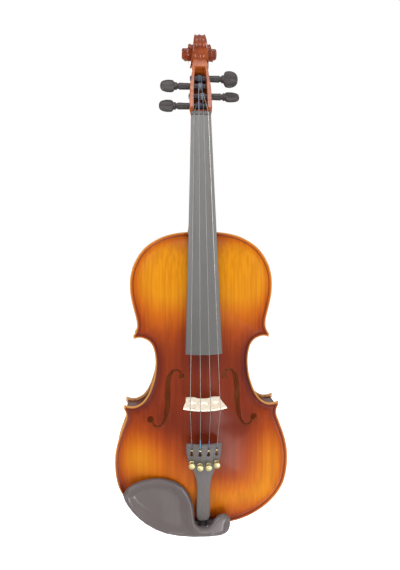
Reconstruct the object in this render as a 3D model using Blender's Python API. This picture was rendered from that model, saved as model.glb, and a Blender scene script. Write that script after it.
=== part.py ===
"""A full-size violin, upright, scroll up and belly towards -Y, as separate pieces in metres.

Sizes below are in millimetres in the maker's frame: x across (treble side +), y depth (0 at the
belly's edge, + towards the back), z height above the bottom edge of the body. `at` turns them into
metres about the origin, which sits where a wall hanger's yoke takes the head, under the volute.
"""

import math

import bmesh
import bpy
from mathutils import Vector
from mathutils.geometry import delaunay_2d_cdt

for old in list(bpy.data.objects):
    bpy.data.objects.remove(old, do_unlink=True)

MM = 0.001
ORIGIN = (0.0, 24.0, 558.0)

# Body
BODY_LENGTH = 355.0
EDGE = 4.0  # plate thickness at the edge
RIB_TOP = 4.2
RIB_FOOT = 34.6
BACK_INNER = 34.8
BACK_EDGE = 38.8
BELLY_ARCH = 11.6
BACK_ARCH = 10.6
BELLY_WALL = 3.2
BACK_WALL = 3.6
OVERHANG = 2.8
RIB_WALL = 1.3
GLUE = 0.3
BLOCK_GAP = 0.35

# Neck, board and head
NUT_Z = 490.0
BOARD_END_Z = 215.5
BOARD_HALF_NUT = 11.6
BOARD_HALF_END = 20.9
BOARD_CROWN_NUT = 0.4
BOARD_CROWN_END = -32.0
BOARD_RADIUS = 44.0
ROOT_Z = 349.5
VOLUTE = (31.0, 570.0)  # y and z of the eye
EYE_HALF = 21.2

# Strings: name, x at nut, bridge and tail, radius, peg
STRINGS = (
    ("g", -8.2, -16.8, -14.5, 0.46),
    ("d", -2.8, -5.6, -4.9, 0.43),
    ("a", 2.8, 5.6, 4.9, 0.40),
    ("e", 8.2, 16.8, 14.5, 0.36),
)
BRIDGE_Z = 156.2
BRIDGE_CROWN = -44.0
BRIDGE_RADIUS = 46.0

# Pegs: name, side, y, z, head start, head turn in degrees
PEGS = (
    ("g", -1, 14.8, 503.4, 31.8, -33.0),
    ("d", -1, 18.6, 527.6, 30.2, -30.0),
    ("a", 1, 20.4, 537.4, 28.6, 0.0),
    ("e", 1, 16.6, 515.4, 29.8, -42.0),
)
PEG_THIN = 3.2  # shaft radius 15 mm beyond the centre line
PEG_TAPER = 0.019
PEG_PLAY = 0.07

# Tailpiece and tuners
TAIL_TOP = (-30.0, 112.0)
TAIL_END = (-9.0, 10.6)
TUNER_Z = (88.2, 86.2, 86.2, 88.2)

UPPER_BOUT = (
    (0, 355.0), (16, 354.9), (30, 353.5), (44, 350.0), (56, 344.2), (66, 337.0), (74, 327.4), (80.2, 315.5),
    (83.4, 304), (84.3, 294), (83.8, 282.5), (82.0, 272), (79.6, 262), (77.4, 253), (76.6, 246.2),
    (77.3, 240.6), (79.1, 236.4), (81.2, 233.2),
)
WAIST = (
    (80.4, 229.4), (75.4, 230.7), (69.8, 230.0), (63.4, 226.8), (58.9, 221.2), (56.3, 213), (55.3, 204),
    (55.4, 196), (56.9, 184), (60.5, 171.8), (65.2, 161.2), (71.6, 153.2), (79.6, 149.0), (86.6, 149.0),
    (92.7, 150.9),
)
LOWER_BOUT = (
    (93.0, 146.0), (91.2, 142.4), (90.4, 138.4), (91.1, 133.4), (93.3, 127.4), (96.1, 120), (99.4, 111),
    (102.1, 101.5), (103.9, 91.5), (104.5, 81), (104.1, 70), (102.7, 60), (99.9, 50), (95.4, 41), (88.8, 32),
    (80.6, 23.8), (70.8, 16.6), (58.9, 10.0), (45, 4.9), (30, 1.9), (15, 0.5), (0, 0),
)
BUTTON = ((0, 366.2), (5.5, 365.0), (9.4, 361.4), (10.8, 356.4), (12.6, 354.95))
SOUND_HOLE = (  # centre line and half width, from the upper eye to the lower eye
    (24.4, 187.6, 1.4), (26.2, 191.0, 1.1), (29.2, 193.2, 1.0), (33.0, 192.8, 1.3), (37.0, 189.0, 1.9),
    (40.0, 181.5, 2.6), (41.0, 170.0, 2.9), (41.3, 157.0, 2.9), (42.2, 145.0, 2.6), (44.3, 135.6, 1.9),
    (48.0, 128.4, 1.3), (52.8, 125.8, 1.0), (57.2, 127.4, 1.1), (60.2, 131.0, 1.4),
)
UPPER_EYE = (24.6, 186.2, 3.3)
LOWER_EYE = (61.6, 133.8, 4.1)
WIDTHS = (
    (-6, 62), (40, 99), (80, 102), (125, 85), (150, 68), (200, 56), (228, 62), (260, 78), (300, 82),
    (340, 68), (372, 50),
)

COLOURS = {
    "spruce": (0.62, 0.26, 0.04, 1.0),
    "maple": (0.45, 0.17, 0.03, 1.0),
    "raw": (0.72, 0.55, 0.33, 1.0),
    "ebony": (0.07, 0.06, 0.055, 1.0),
    "pegwood": (0.09, 0.06, 0.055, 1.0),
    "bridge": (0.87, 0.78, 0.53, 1.0),
    "string": (0.72, 0.72, 0.74, 1.0),
    "brass": (0.83, 0.66, 0.30, 1.0),
    "steel": (0.60, 0.60, 0.62, 1.0),
    "cork": (0.55, 0.38, 0.24, 1.0),
    "nylon": (0.05, 0.05, 0.05, 1.0),
}


def at(x, y, z):
    return Vector(((x - ORIGIN[0]) * MM, (y - ORIGIN[1]) * MM, (z - ORIGIN[2]) * MM))


def mix(a, b, t):
    return a + (b - a) * t


def smooth(t):
    t = min(1.0, max(0.0, t))
    return t * t * (3.0 - 2.0 * t)


def spline(knots, steps):
    """Catmull-Rom through the knots, steps points to a span, with the last knot."""
    ends = [tuple(2 * a - b for a, b in zip(knots[0], knots[1]))]
    tail = [tuple(2 * a - b for a, b in zip(knots[-1], knots[-2]))]
    run = ends + [tuple(k) for k in knots] + tail
    made = []
    for i in range(1, len(run) - 2):
        for k in range(steps):
            t = k / steps
            made.append(tuple(
                b + 0.5 * t * (c - a + t * (2 * a - 5 * b + 4 * c - d + t * (3 * b - a - 3 * c + d)))
                for a, b, c, d in zip(*run[i - 1:i + 3])
            ))
    return made + [tuple(knots[-1])]


def mirrored(half):
    """A closed loop from a half outline that runs from the centre line to the centre line."""
    return [(-x, z) for x, z in reversed(half[1:-1])] + list(half)


def spaced(points, step):
    """The points about a step apart, keeping both ends."""
    kept = [points[0]]
    for point in points[1:-1]:
        if math.dist(point, kept[-1]) >= step and math.dist(point, points[-1]) >= 0.6 * step:
            kept.append(point)
    return kept + [points[-1]]


def polyline_distance(x, z, loop, closed=True):
    best = 1e9
    pairs = zip(loop, loop[1:] + loop[:1]) if closed else zip(loop, loop[1:])
    for (ax, az), (bx, bz) in pairs:
        dx, dz = bx - ax, bz - az
        size = dx * dx + dz * dz
        t = 0.0 if size == 0 else min(1.0, max(0.0, ((x - ax) * dx + (z - az) * dz) / size))
        best = min(best, (x - ax - t * dx) ** 2 + (z - az - t * dz) ** 2)
    return math.sqrt(best)


def inside(x, z, loop):
    found = False
    for (ax, az), (bx, bz) in zip(loop, loop[1:] + loop[:1]):
        if (az > z) != (bz > z) and x < (bx - ax) * (z - az) / (bz - az) + ax:
            found = not found
    return found


UPPER = spline(UPPER_BOUT, 3)
MIDDLE = spline(WAIST, 3)
LOWER = spline(LOWER_BOUT, 3)
OUTLINE = mirrored(UPPER + MIDDLE + LOWER)


def local_width(z):
    for (za, wa), (zb, wb) in zip(WIDTHS, WIDTHS[1:]):
        if z <= zb:
            return mix(wa, wb, smooth((z - za) / (zb - za)))
    return WIDTHS[-1][1]


def arch(x, z):
    """0 at the edge's channel to 1 on the crown, and the distance from the edge."""
    d = polyline_distance(x, z, OUTLINE)
    if not inside(x, z, OUTLINE):
        d = 0.0
    t = min(1.0, max(0.0, (d - 5.0) / (0.9 * local_width(z) - 5.0)))
    rise = 0.5 - 0.5 * math.cos(math.pi * t ** 0.72)
    return rise * (1.0 - 0.08 * ((z - 190.0) / 165.0) ** 2), d


def channel(d):
    return 0.9 * smooth((d - 2.0) / 3.0) * (1.0 - smooth((d - 6.5) / 8.0))


def belly_outer(x, z):
    rise, d = arch(x, z)
    return channel(d) - BELLY_ARCH * rise


def belly_inner(x, z):
    rise, d = arch(x, z)
    return EDGE if d < 8.0 else min(EDGE, channel(d) - BELLY_ARCH * rise + BELLY_WALL)


def back_outer(x, z):
    rise, d = arch(x, z)
    return BACK_EDGE - channel(d) + BACK_ARCH * rise


def back_inner(x, z):
    rise, d = arch(x, z)
    return BACK_INNER if d < 8.0 else max(BACK_INNER, BACK_EDGE - channel(d) + BACK_ARCH * rise - BACK_WALL)


# Makers of shapes


def finish(name, mesh_maker, slot, smoothing=False, origin=None):
    """Turns a bmesh into a named object, with its own material and its origin where asked."""
    bmesh.ops.recalc_face_normals(mesh_maker, faces=mesh_maker.faces)
    mesh = bpy.data.meshes.new(name)
    mesh_maker.to_mesh(mesh)
    mesh_maker.free()
    obj = bpy.data.objects.new(name, mesh)
    bpy.context.scene.collection.objects.link(obj)
    if origin is not None:
        for vertex in mesh.vertices:
            vertex.co -= origin
        obj.location = origin
    if slot:
        material = bpy.data.materials.new(name)
        material.use_nodes = True
        shader = material.node_tree.nodes["Principled BSDF"]
        shader.inputs["Base Color"].default_value = COLOURS[slot]
        shader.inputs["Roughness"].default_value = 0.35
        shader.inputs["Metallic"].default_value = 1.0 if slot in ("string", "brass", "steel") else 0.0
        mesh.materials.append(material)
    if smoothing:
        for face in mesh.polygons:
            face.use_smooth = True
        mesh.set_sharp_from_angle(angle=math.radians(35))
    return obj


def helper(obj):
    obj.hide_render = True
    obj.display_type = "WIRE"
    return obj


def carve(target, cutter, operation="DIFFERENCE"):
    modifier = target.modifiers.new(operation.lower() + "_" + cutter.name, "BOOLEAN")
    modifier.operation = operation
    modifier.solver = "EXACT"
    modifier.object = cutter
    return target


def prism_mesh(loop, y_front, y_back):
    made = bmesh.new()
    front = [made.verts.new(at(x, y_front, z)) for x, z in loop]
    back = [made.verts.new(at(x, y_back, z)) for x, z in loop]
    made.faces.new(front)
    made.faces.new(list(reversed(back)))
    for i in range(len(loop)):
        j = (i + 1) % len(loop)
        made.faces.new((front[i], back[i], back[j], front[j]))
    return made


def prism(name, loop, y_front, y_back, slot):
    return finish(name, prism_mesh(loop, y_front, y_back), slot)


def loft(name, rings, slot, smoothing=True, origin=None, loop=False):
    """Joins rings of points, in order; the ends are capped unless the rings make a loop."""
    made = bmesh.new()
    rows = [[made.verts.new(point) for point in ring] for ring in rings]
    count = len(rows[0])
    pairs = list(zip(rows, rows[1:]))
    if loop:
        pairs.append((rows[-1], rows[0]))
    for first, second in pairs:
        for i in range(count):
            j = (i + 1) % count
            made.faces.new((first[i], first[j], second[j], second[i]))
    if not loop:
        made.faces.new(rows[0])
        made.faces.new(list(reversed(rows[-1])))
    return finish(name, made, slot, smoothing, origin)


def tube_rings(path, radius, sides):
    rings = []
    points = [at(*p) for p in path]
    normal = None
    for i, point in enumerate(points):
        before = points[max(0, i - 1)]
        after = points[min(len(points) - 1, i + 1)]
        along = (after - before).normalized()
        if normal is None:
            guess = Vector((1, 0, 0)) if abs(along.x) < 0.8 else Vector((0, 1, 0))
            normal = along.cross(guess).normalized()
        normal = (normal - along * normal.dot(along)).normalized()
        other = along.cross(normal)
        size = radius(i / (len(points) - 1)) if callable(radius) else radius
        angles = [math.tau * k / sides for k in range(sides)]
        rings.append([point + (normal * math.cos(a) + other * math.sin(a)) * size * MM for a in angles])
    return rings


def tube(name, path, radius, slot, sides=8, origin=None):
    return loft(name, tube_rings(path, radius, sides), slot, True, origin)


def turned(name, centre, direction, profile, slot, sides=16, origin=None):
    """A solid of revolution: profile holds (distance along direction, radius) in millimetres."""
    along = Vector(direction).normalized()
    guess = Vector((0, 0, 1)) if abs(along.z) < 0.8 else Vector((1, 0, 0))
    first = along.cross(guess).normalized()
    second = along.cross(first)
    base = at(*centre)
    rings = [
        [
            base + along * s * MM + (first * math.cos(a) + second * math.sin(a)) * r * MM
            for a in (math.tau * k / sides for k in range(sides))
        ]
        for s, r in profile
    ]
    return loft(name, rings, slot, True, origin)


# Plates


def plate(name, loop, outer, inner, holes, slot):
    """A carved plate: a flat triangulated net inside the loop, raised to its outer and inner skins."""
    grid = 14.0
    points = [Vector((x, z)) for x, z in loop]
    edges = [(i, (i + 1) % len(loop)) for i in range(len(loop))]
    for hole in holes:
        start = len(points)
        points += [Vector((x, z)) for x, z in hole]
        edges += [(start + i, start + (i + 1) % len(hole)) for i in range(len(hole))]
    for margin, step in ((6.2, 9.0), (15.0, 13.0)):
        for half in (UPPER, MIDDLE, LOWER):
            for x, z in offset_run(half, margin, 0.4, step):
                for side in (-1, 1) if abs(x) > 3 else (1,):
                    if inside(side * x, z, loop) and polyline_distance(x, z, loop) > 4.5:
                        points.append(Vector((side * x, z)))
    rows = int(BODY_LENGTH / grid)
    for row in range(1, rows + 1):
        z = row * grid
        for column in range(-8, 9):
            x = (column + (0.5 if row % 2 and column < 8 else 0.0)) * grid
            if not inside(x, z, loop) or polyline_distance(x, z, OUTLINE) < 20.5:
                continue
            if any(inside(x, z, hole) or polyline_distance(x, z, hole) < 4.5 for hole in holes):
                continue
            points.append(Vector((x, z)))
    found, _, faces, _, _, _ = delaunay_2d_cdt(points, edges, [], 1, 1e-6)
    made = bmesh.new()
    front = [made.verts.new(at(p.x, outer(p.x, p.y), p.y)) for p in found]
    back = [made.verts.new(at(p.x, inner(p.x, p.y), p.y)) for p in found]
    border = {}
    for face in faces:
        cx = sum(found[i].x for i in face) / 3
        cz = sum(found[i].y for i in face) / 3
        if not inside(cx, cz, loop) or any(inside(cx, cz, hole) for hole in holes):
            continue
        made.faces.new([front[i] for i in face])
        made.faces.new([back[i] for i in reversed(face)])
        for a, b in zip(face, face[1:] + face[:1]):
            if (b, a) in border:
                del border[(b, a)]
            else:
                border[(a, b)] = True
    for a, b in border:
        made.faces.new((front[b], front[a], back[a], back[b]))
    bmesh.ops.delete(made, geom=[v for v in made.verts if not v.link_faces], context="VERTS")
    return finish(name, made, slot, True)


def offset_run(run, distance, clearance, step=0.0):
    """A run of the half outline moved inwards, cut back where another run comes nearer."""
    others = [other for other in (UPPER, MIDDLE, LOWER) if other is not run]
    made = []
    for i, (x, z) in enumerate(run):
        ax, az = run[max(0, i - 1)]
        bx, bz = run[min(len(run) - 1, i + 1)]
        size = math.hypot(bx - ax, bz - az)
        nx, nz = (bz - az) / size, -(bx - ax) / size
        px, pz = x + nx * distance, z + nz * distance
        if not inside(px, pz, OUTLINE):
            continue
        if polyline_distance(px, pz, run, False) < distance - 0.02:
            continue
        if min(polyline_distance(px, pz, other, False) for other in others) < distance + clearance:
            continue
        made.append((px, pz))
    return spaced(made, step) if step and made else made


def flip(points):
    return [(-x, z) for x, z in points]


def hole_outline(side):
    """A sound hole: the swelling stem with a round eye at either end, as one loop."""
    run = spline(SOUND_HOLE, 2)
    left, right = [], []
    for i, (x, z, half) in enumerate(run):
        ax, az, _ = run[max(0, i - 1)]
        bx, bz, _ = run[min(len(run) - 1, i + 1)]
        size = math.hypot(bx - ax, bz - az)
        nx, nz = -(bz - az) / size, (bx - ax) / size
        left.append((x + nx * half, z + nz * half))
        right.append((x - nx * half, z - nz * half))

    def eye(centre, start, end):
        cx, cz, radius = centre
        a = math.atan2(start[1] - cz, start[0] - cx)
        b = math.atan2(end[1] - cz, end[0] - cx)
        while b < a:
            b += math.tau
        angles = [mix(a, b, k / 7) for k in range(8)]
        return [(cx + radius * math.cos(angle), cz + radius * math.sin(angle)) for angle in angles]

    skip = 2
    left, right = left[skip:-skip], right[skip:-skip]
    top = eye(UPPER_EYE, left[0], right[0])
    foot = eye(LOWER_EYE, right[-1], left[-1])
    loop = top + right + foot + list(reversed(left))
    return [(side * x, z) for x, z in loop]


HOLES = [hole_outline(-1), hole_outline(1)]

belly_half = (
    [(0, ROOT_Z - 0.4), (16.3, ROOT_Z - 0.4)]
    + [(16.3, 354.85)]
    + [p for p in spaced(UPPER, 8) if p[0] > 19]
    + spaced(MIDDLE, 7)
    + [p for p in spaced(LOWER, 8) if p[0] > 20]
    + [(17.4, 0.6), (17.4, 6.9), (0, 6.9)]
)
back_half = BUTTON[:-1] + tuple(p for p in spaced(UPPER, 8) if p[0] > 12)
back_half = list(back_half) + spaced(MIDDLE, 7) + spaced(LOWER, 8)

plate("front_plate", mirrored(belly_half), belly_outer, belly_inner, HOLES, "spruce")
plate("back_plate", mirrored(back_half), back_outer, back_inner, [], "maple")

# Ribs and blocks

pin_bore = helper(turned("pin_bore", (0, 19.4, -1), (0, 0, 1), [(0, 4.3), (26, 4.3)], None, 20))

for run, label in ((UPPER, "upper"), (MIDDLE, "centre"), (LOWER, "lower")):
    outside = offset_run(run, OVERHANG, 0.2, 5.5)
    within = offset_run(run, OVERHANG + RIB_WALL, 0.2, 5.5)
    if label == "upper":
        outside = [(16.6, outside[0][1])] + [p for p in outside if p[0] > 18.5]
        within = [(16.6, within[0][1])] + [p for p in within if p[0] > 18.5]
    if label == "lower":
        outside = [p for p in outside if p[0] > 2] + [(0.2, OVERHANG)]
        within = [p for p in within if p[0] > 2] + [(0.2, OVERHANG + RIB_WALL)]
    strip = outside + list(reversed(within))
    for side, points in (("left", flip(strip)), ("right", strip)):
        rib = prism(f"rib_{label}_{side}", points, RIB_TOP, RIB_FOOT, "maple")
        if label == "lower":
            carve(rib, pin_bore)

depth = OVERHANG + RIB_WALL + BLOCK_GAP
for first, second, corner, label, reach in (
    (UPPER, MIDDLE, (78.0, 231.5), "upper", 21.0),
    (MIDDLE, LOWER, (90.0, 148.5), "lower", 24.0),
):
    arriving = [p for p in offset_run(first, depth, 0.1, 3.0) if math.dist(p, corner) < reach]
    leaving = [p for p in offset_run(second, depth, 0.1, 3.0) if math.dist(p, corner) < reach]
    shape = arriving + leaving
    for side, points in (("left", flip(shape)), ("right", shape)):
        prism(f"corner_block_{label}_{side}", points, EDGE + GLUE, BACK_INNER - GLUE, "raw")

heel_block = [(-24, 332), (24, 332), (24, 348.9), (-24, 348.9)]
prism("upper_block", heel_block, EDGE + GLUE, BACK_INNER - GLUE, "raw")
foot_curve = [p for p in offset_run(LOWER, depth, 0.1, 5.0) if p[0] < 25]
foot_left = [p for p in flip(list(reversed(foot_curve))) if p[0] < -0.5]
foot_block = foot_curve + foot_left + [(-25, 22), (25, 22)]
carve(prism("lower_block", foot_block, EDGE + GLUE, BACK_INNER - GLUE, "raw"), pin_bore)

# Bar and post

bar_rings = []
for k in range(15):
    z = mix(58, 322, k / 14)
    x = mix(-21.5, -15.5, k / 14)
    front = max(belly_inner(x - 3, z), belly_inner(x + 3, z)) + 0.7
    tall = 1.6 + 9.4 * math.sin(math.pi * k / 14) ** 0.8
    bar_rings.append([at(x - 2.6, front, z), at(x + 2.6, front, z), at(x + 2.2, front + tall, z),
                      at(x - 2.2, front + tall, z)])
loft("bass_bar", bar_rings, "raw", False)
post_top = max(belly_inner(17, 152), belly_inner(23, 152)) + 0.6
post_foot = min(back_inner(17, 152), back_inner(23, 152)) - 0.6
turned("sound_post", (20, post_top, 152), (0, 1, 0), [(0, 3.1), (post_foot - post_top, 3.1)], "raw", 16)


# Neck, pegbox and scroll


def board_crown(z):
    return mix(BOARD_CROWN_END, BOARD_CROWN_NUT, (z - BOARD_END_Z) / (NUT_Z - BOARD_END_Z))


def board_half(z):
    return mix(BOARD_HALF_END, BOARD_HALF_NUT, (z - BOARD_END_Z) / (NUT_Z - BOARD_END_Z))


def board_under(z):
    return mix(-22.6, 6.9, (z - BOARD_END_Z) / (NUT_Z - BOARD_END_Z))


def neck_ring(z, half, front, back, square):
    ring = []
    for k in range(15):
        a = math.pi * k / 14
        c, s = math.cos(a), math.sin(a)
        x = half * math.copysign(abs(c) ** (2 / square), c)
        ring.append(at(x, mix(front, back, s ** (2 / square)), z))
    return ring


NECK_STATIONS = (  # height, half width, back, squareness; the front follows the board's underside
    (349.5, 15.9, 34.5, 7.0), (354.8, 15.9, 34.5, 7.0), (357.5, 15.6, 34.4, 4.6), (361.0, 15.3, 33.4, 3.4),
    (364.0, 15.2, 28.8, 2.9), (367.0, 15.1, 22.0, 2.5), (371.0, 15.0, 15.4, 2.3), (376.0, 14.9, 11.4, 2.2),
    (384.0, 14.8, 9.6, 2.1), (405.0, 14.2, 10.8, 2.1), (440.0, 13.1, 14.2, 2.1), (470.0, 12.2, 17.0, 2.1),
    (484.0, 11.8, 18.6, 2.2), (490.0, 11.8, 20.4, 2.6), (494.8, 12.9, 23.8, 4.0), (499.0, 13.3, 26.4, 6.0),
    (515.0, 13.1, 29.0, 8.0), (530.0, 12.0, 31.4, 8.0), (541.0, 10.3, 33.0, 7.0), (547.0, 9.7, 34.4, 6.0),
    (551.0, 9.8, 36.0, 5.0), (556.0, 8.6, 40.0, 4.0), (562.0, 6.6, 44.0, 4.0),
)

PEGBOX_CAVITY = (  # height, half width, front, floor
    (498.2, 7.9, -6, 18.0), (502.0, 7.9, -6, 22.0), (518.0, 7.8, -6, 24.6), (534.0, 7.1, -6, 27.2),
    (541.0, 6.5, -6, 27.6), (546.0, 5.9, -6, 24.0),
)


def peg_radius(x):
    """The shaft's radius, x millimetres from the centre line towards the head."""
    return PEG_THIN + PEG_TAPER * (x + 15.0)


def neck_front(z):
    if z <= 495.0:
        return board_under(z) + GLUE
    if z <= 499.0:
        return mix(board_under(495.0) + GLUE, 6.4, (z - 495.0) / 4.0)
    return mix(6.4, 13.6, (z - 499.0) / 49.0) if z < 552 else mix(14.2, 20.0, (z - 552) / 10.0)


neck_rings = [neck_ring(z, half, neck_front(z), back, n) for z, half, back, n in NECK_STATIONS]
neck = loft("neck", neck_rings, "maple")
volute = turned(
    "volute_blank", (-EYE_HALF, *VOLUTE), (1, 0, 0),
    [(0, 3.2), (1.6, 5.6), (6.4, 6.6), (7.4, 9.6), (10.6, 11.0), (11.8, 15.4), (14.8, 17.4), (15.8, 21.8),
     (16.6, 22.6), (25.8, 22.6), (26.6, 21.8), (27.6, 17.4), (30.6, 15.4), (31.8, 11.0), (35.0, 9.6),
     (36.0, 6.6), (40.8, 5.6), (42.4, 3.2)],
    None, 28,
)
carve(neck, helper(volute), "UNION")
chest = loft("pegbox_cavity", [
    [at(-w, f, z), at(w, f, z), at(w, b, z), at(-w, b, z)]
    for z, w, f, b in PEGBOX_CAVITY
], None, False)
carve(neck, helper(chest))

for label, side, y, z, head, turn in PEGS:
    thin, wide = peg_radius(-22.0) + PEG_PLAY, peg_radius(22.0) + PEG_PLAY
    bore = turned(f"peg_bore_{label}", (-22.0 * side, y, z), (side, 0, 0), [(0, thin), (44, wide)], None, 28)
    carve(neck, helper(bore))

# Fingerboard and nut

board_rings = []
for z in (BOARD_END_Z, BOARD_END_Z + 1.2, 300.0, 395.0, NUT_Z - 0.2):
    half = board_half(z)
    crown = board_crown(z) + (1.0 if z == BOARD_END_Z else 0.0)
    ring = []
    for k in range(11):
        x = mix(half, -half, k / 10)
        ring.append(at(x, crown + BOARD_RADIUS - math.sqrt(BOARD_RADIUS ** 2 - x * x), z))
    under = board_under(z)
    ring += [at(-half * 0.97, under, z), at(half * 0.97, under, z)]
    board_rings.append(ring)
loft("fingerboard", board_rings, "ebony")

nut_rings = []
for z, drop in ((NUT_Z + 0.1, 0.5), (NUT_Z + 1.6, 0.0), (NUT_Z + 3.6, 0.6), (NUT_Z + 4.6, 2.2)):
    half = BOARD_HALF_NUT
    ring = []
    for k in range(9):
        x = mix(half, -half, k / 8)
        fall = BOARD_RADIUS - math.sqrt(BOARD_RADIUS ** 2 - x * x)
        ring.append(at(x, board_crown(z) - 0.8 + drop + fall, z))
    ring += [at(-half, board_under(z), z), at(half, board_under(z), z)]
    nut_rings.append(ring)
loft("nut", nut_rings, "ebony", False)

# Saddle and end pin

saddle_loop = [(-17.1, 0.4), (17.1, 0.4), (17.1, 6.6), (-17.1, 6.6)]
prism("saddle", saddle_loop, -3.4, 3.9, "ebony")
turned("end_button", (0, 19.4, 21.0), (0, 0, -1),
       [(0, 3.5), (17.9, 4.0), (18.9, 4.0), (19.2, 5.6), (21.6, 6.0), (22.4, 4.2), (23.8, 4.0), (25.4, 6.6),
        (28.6, 7.3), (31.4, 6.6), (32.8, 4.4)], "ebony", 20)

# Tailpiece

TAIL_OUTLINE = (
    (10.6, 3.6), (12.2, 6.2), (16.0, 7.8), (24.0, 8.2), (36.0, 7.9), (50.0, 7.7), (62.0, 8.3), (70.0, 9.9),
    (77.0, 12.4), (83.0, 15.6), (90.0, 18.4), (98.0, 20.0), (106.0, 20.7), (110.4, 20.7), (112.0, 19.6),
)


def tail_crown(z):
    return mix(TAIL_END[0], TAIL_TOP[0], (z - TAIL_END[1]) / (TAIL_TOP[1] - TAIL_END[1]))


def tail_drop(x, z):
    return 0.011 * x * x


tail_rings = []
for z, half in TAIL_OUTLINE:
    thick = 3.0 + 1.6 * (1.0 - smooth((z - 40.0) / 40.0))
    crown = tail_crown(z) + (1.2 if z in (10.6, 112.0) else 0.0)
    ring = [at(mix(half, -half, k / 8), crown + tail_drop(mix(half, -half, k / 8), z), z) for k in range(9)]
    under = [mix(-half, half, k / 4) * 0.96 for k in range(5)]
    ring += [at(x, crown + thick + tail_drop(x, z), z) for x in under]
    tail_rings.append(ring)
tailpiece = loft("tailpiece", tail_rings, "ebony")

slope = Vector((0.0, TAIL_TOP[0] - TAIL_END[0], TAIL_TOP[1] - TAIL_END[1])).normalized()
normal = Vector((0.0, -slope.z, slope.y))  # out of the tailpiece's face
for (label, _, _, tail_x, _), tuner_z in zip(STRINGS, TUNER_Z):
    slot_loop = [(tail_x - 1.7, 97.0), (tail_x + 1.7, 97.0), (tail_x + 1.7, 108.0), (tail_x - 1.7, 108.0)]
    carve(tailpiece, helper(prism(f"tail_slot_{label}", slot_loop, -45, -5, None)))
    face_y = tail_crown(tuner_z) + tail_drop(tail_x, tuner_z)
    seat = (tail_x, face_y, tuner_z)
    bore = turned(f"tuner_bore_{label}", seat, normal, [(-9, 2.65), (9, 2.65)], None, 12)
    carve(tailpiece, helper(bore))
    centre = at(*seat)

    ring_rows = []
    for s, r in ((-3.4, 1.55), (-3.4, 2.35), (0.9, 2.35), (0.9, 1.55)):
        ring_rows.append([
            centre + normal * s * MM
            + (Vector((1, 0, 0)) * math.cos(math.tau * k / 12) + slope * math.sin(math.tau * k / 12)) * r * MM
            for k in range(12)
        ])
    loft(f"tuner_bush_{label}", ring_rows, "brass", True, None, True)
    turned(f"tuner_stem_{label}", seat, normal, [(-5.5, 0.9), (-5.0, 1.2), (4.2, 1.2)], "brass", 10, centre)
    turned(f"tuner_knob_{label}", seat, normal,
           [(4.5, 1.9), (4.7, 3.4), (5.2, 3.8), (7.2, 3.8), (7.8, 3.4), (8.2, 2.0)], "brass", 14, centre)

    pivot = at(tail_x, tail_crown(98.0) + tail_drop(tail_x, 98.0) + 6.4, 98.0)
    lever = bmesh.new()
    side_view = (  # along the tailpiece from the pivot, out of its face
        (-14.0, -1.5), (-2.0, -1.5), (3.0, -1.5), (7.6, 1.0), (8.0, 6.4), (6.4, 6.4), (5.9, 2.4), (2.4, 0.4),
        (-14.0, 0.2),
    )
    near = [lever.verts.new(pivot + slope * a * MM + normal * b * MM + Vector((-1.1 * MM, 0, 0)))
            for a, b in side_view]
    far = [lever.verts.new(vertex.co + Vector((2.2 * MM, 0, 0))) for vertex in near]
    lever.faces.new(near)
    lever.faces.new(list(reversed(far)))
    for i in range(len(near)):
        j = (i + 1) % len(near)
        lever.faces.new((near[i], far[i], far[j], near[j]))
    finish(f"tuner_lever_{label}", lever, "brass", False, pivot)

# Tail gut: from the tailpiece's foot over the saddle and round the pin

gut = [(3.2, -5.9, 10.2), (3.3, -5.5, 7.4), (3.5, -4.9, 4.4), (3.7, -4.7, 1.6), (3.9, -4.2, -0.2),
       (4.1, -2.0, -1.6), (4.6, 4.0, -1.9), (5.2, 12.0, -2.1), (5.4, 18.0, -2.2), (4.6, 22.4, -2.2),
       (2.4, 24.6, -2.2), (0.0, 25.0, -2.2)]
gut_points = spline(gut, 1)
tube("tailgut", gut_points + [(-x, y, z) for x, y, z in reversed(gut_points[:-1])], 0.9, "nylon", 8)

# Bridge

BRIDGE_OUTLINE = (  # half, from the foot's inner end up and over to the crown: x and height above the belly
    (9.8, 0.0), (19.9, 0.0), (20.4, 1.6), (20.2, 3.4), (20.1, 6.0), (20.4, 8.4), (20.8, 10.4), (21.5, 13.0),
    (22.4, 16.4), (23.4, 20.4), (24.2, 24.2), (24.7, 27.4), (24.2, 28.4),
)


def crown_drop(x):
    return BRIDGE_RADIUS - math.sqrt(BRIDGE_RADIUS ** 2 - x * x)


BRIDGE_FOOT = belly_outer(0, 160) - 0.35
BRIDGE_TALL = BRIDGE_FOOT - BRIDGE_CROWN
top_run = [(x, BRIDGE_TALL - crown_drop(x)) for x in (22.0, 16.8, 11.2, 5.6, 0.0)]
arch_run = [(0.0, 4.2), (5.0, 3.6), (7.4, 2.5), (9.0, 1.2)]
right_half = list(BRIDGE_OUTLINE) + top_run
bridge_loop = right_half + [(-x, h) for x, h in reversed(right_half[:-1])]
bridge_loop = bridge_loop + [(-x, h) for x, h in reversed(arch_run)] + arch_run[1:]


def foot_gap(x):
    """How much lower the belly lies at x than under the middle of the bridge."""
    return belly_outer(x, 160) - belly_outer(0, 160)


bridge_made = bmesh.new()
skins = []
for face in (-1, 1):
    row = []
    for x, h in bridge_loop:
        t = h / BRIDGE_TALL
        half = mix(2.1, 0.75, t ** 0.8)
        lean = mix(160.0, BRIDGE_Z, t)
        low = foot_gap(x) * (1.0 - smooth(h / 6.0)) if h < 6.0 else 0.0
        row.append(bridge_made.verts.new(at(x, BRIDGE_FOOT - h + low, lean + face * half)))
    skins.append(row)
bridge_made.faces.new(skins[0])
bridge_made.faces.new(list(reversed(skins[1])))
for i in range(len(bridge_loop)):
    j = (i + 1) % len(bridge_loop)
    bridge_made.faces.new((skins[0][i], skins[1][i], skins[1][j], skins[0][j]))
bridge = finish("bridge", bridge_made, "bridge")


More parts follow.
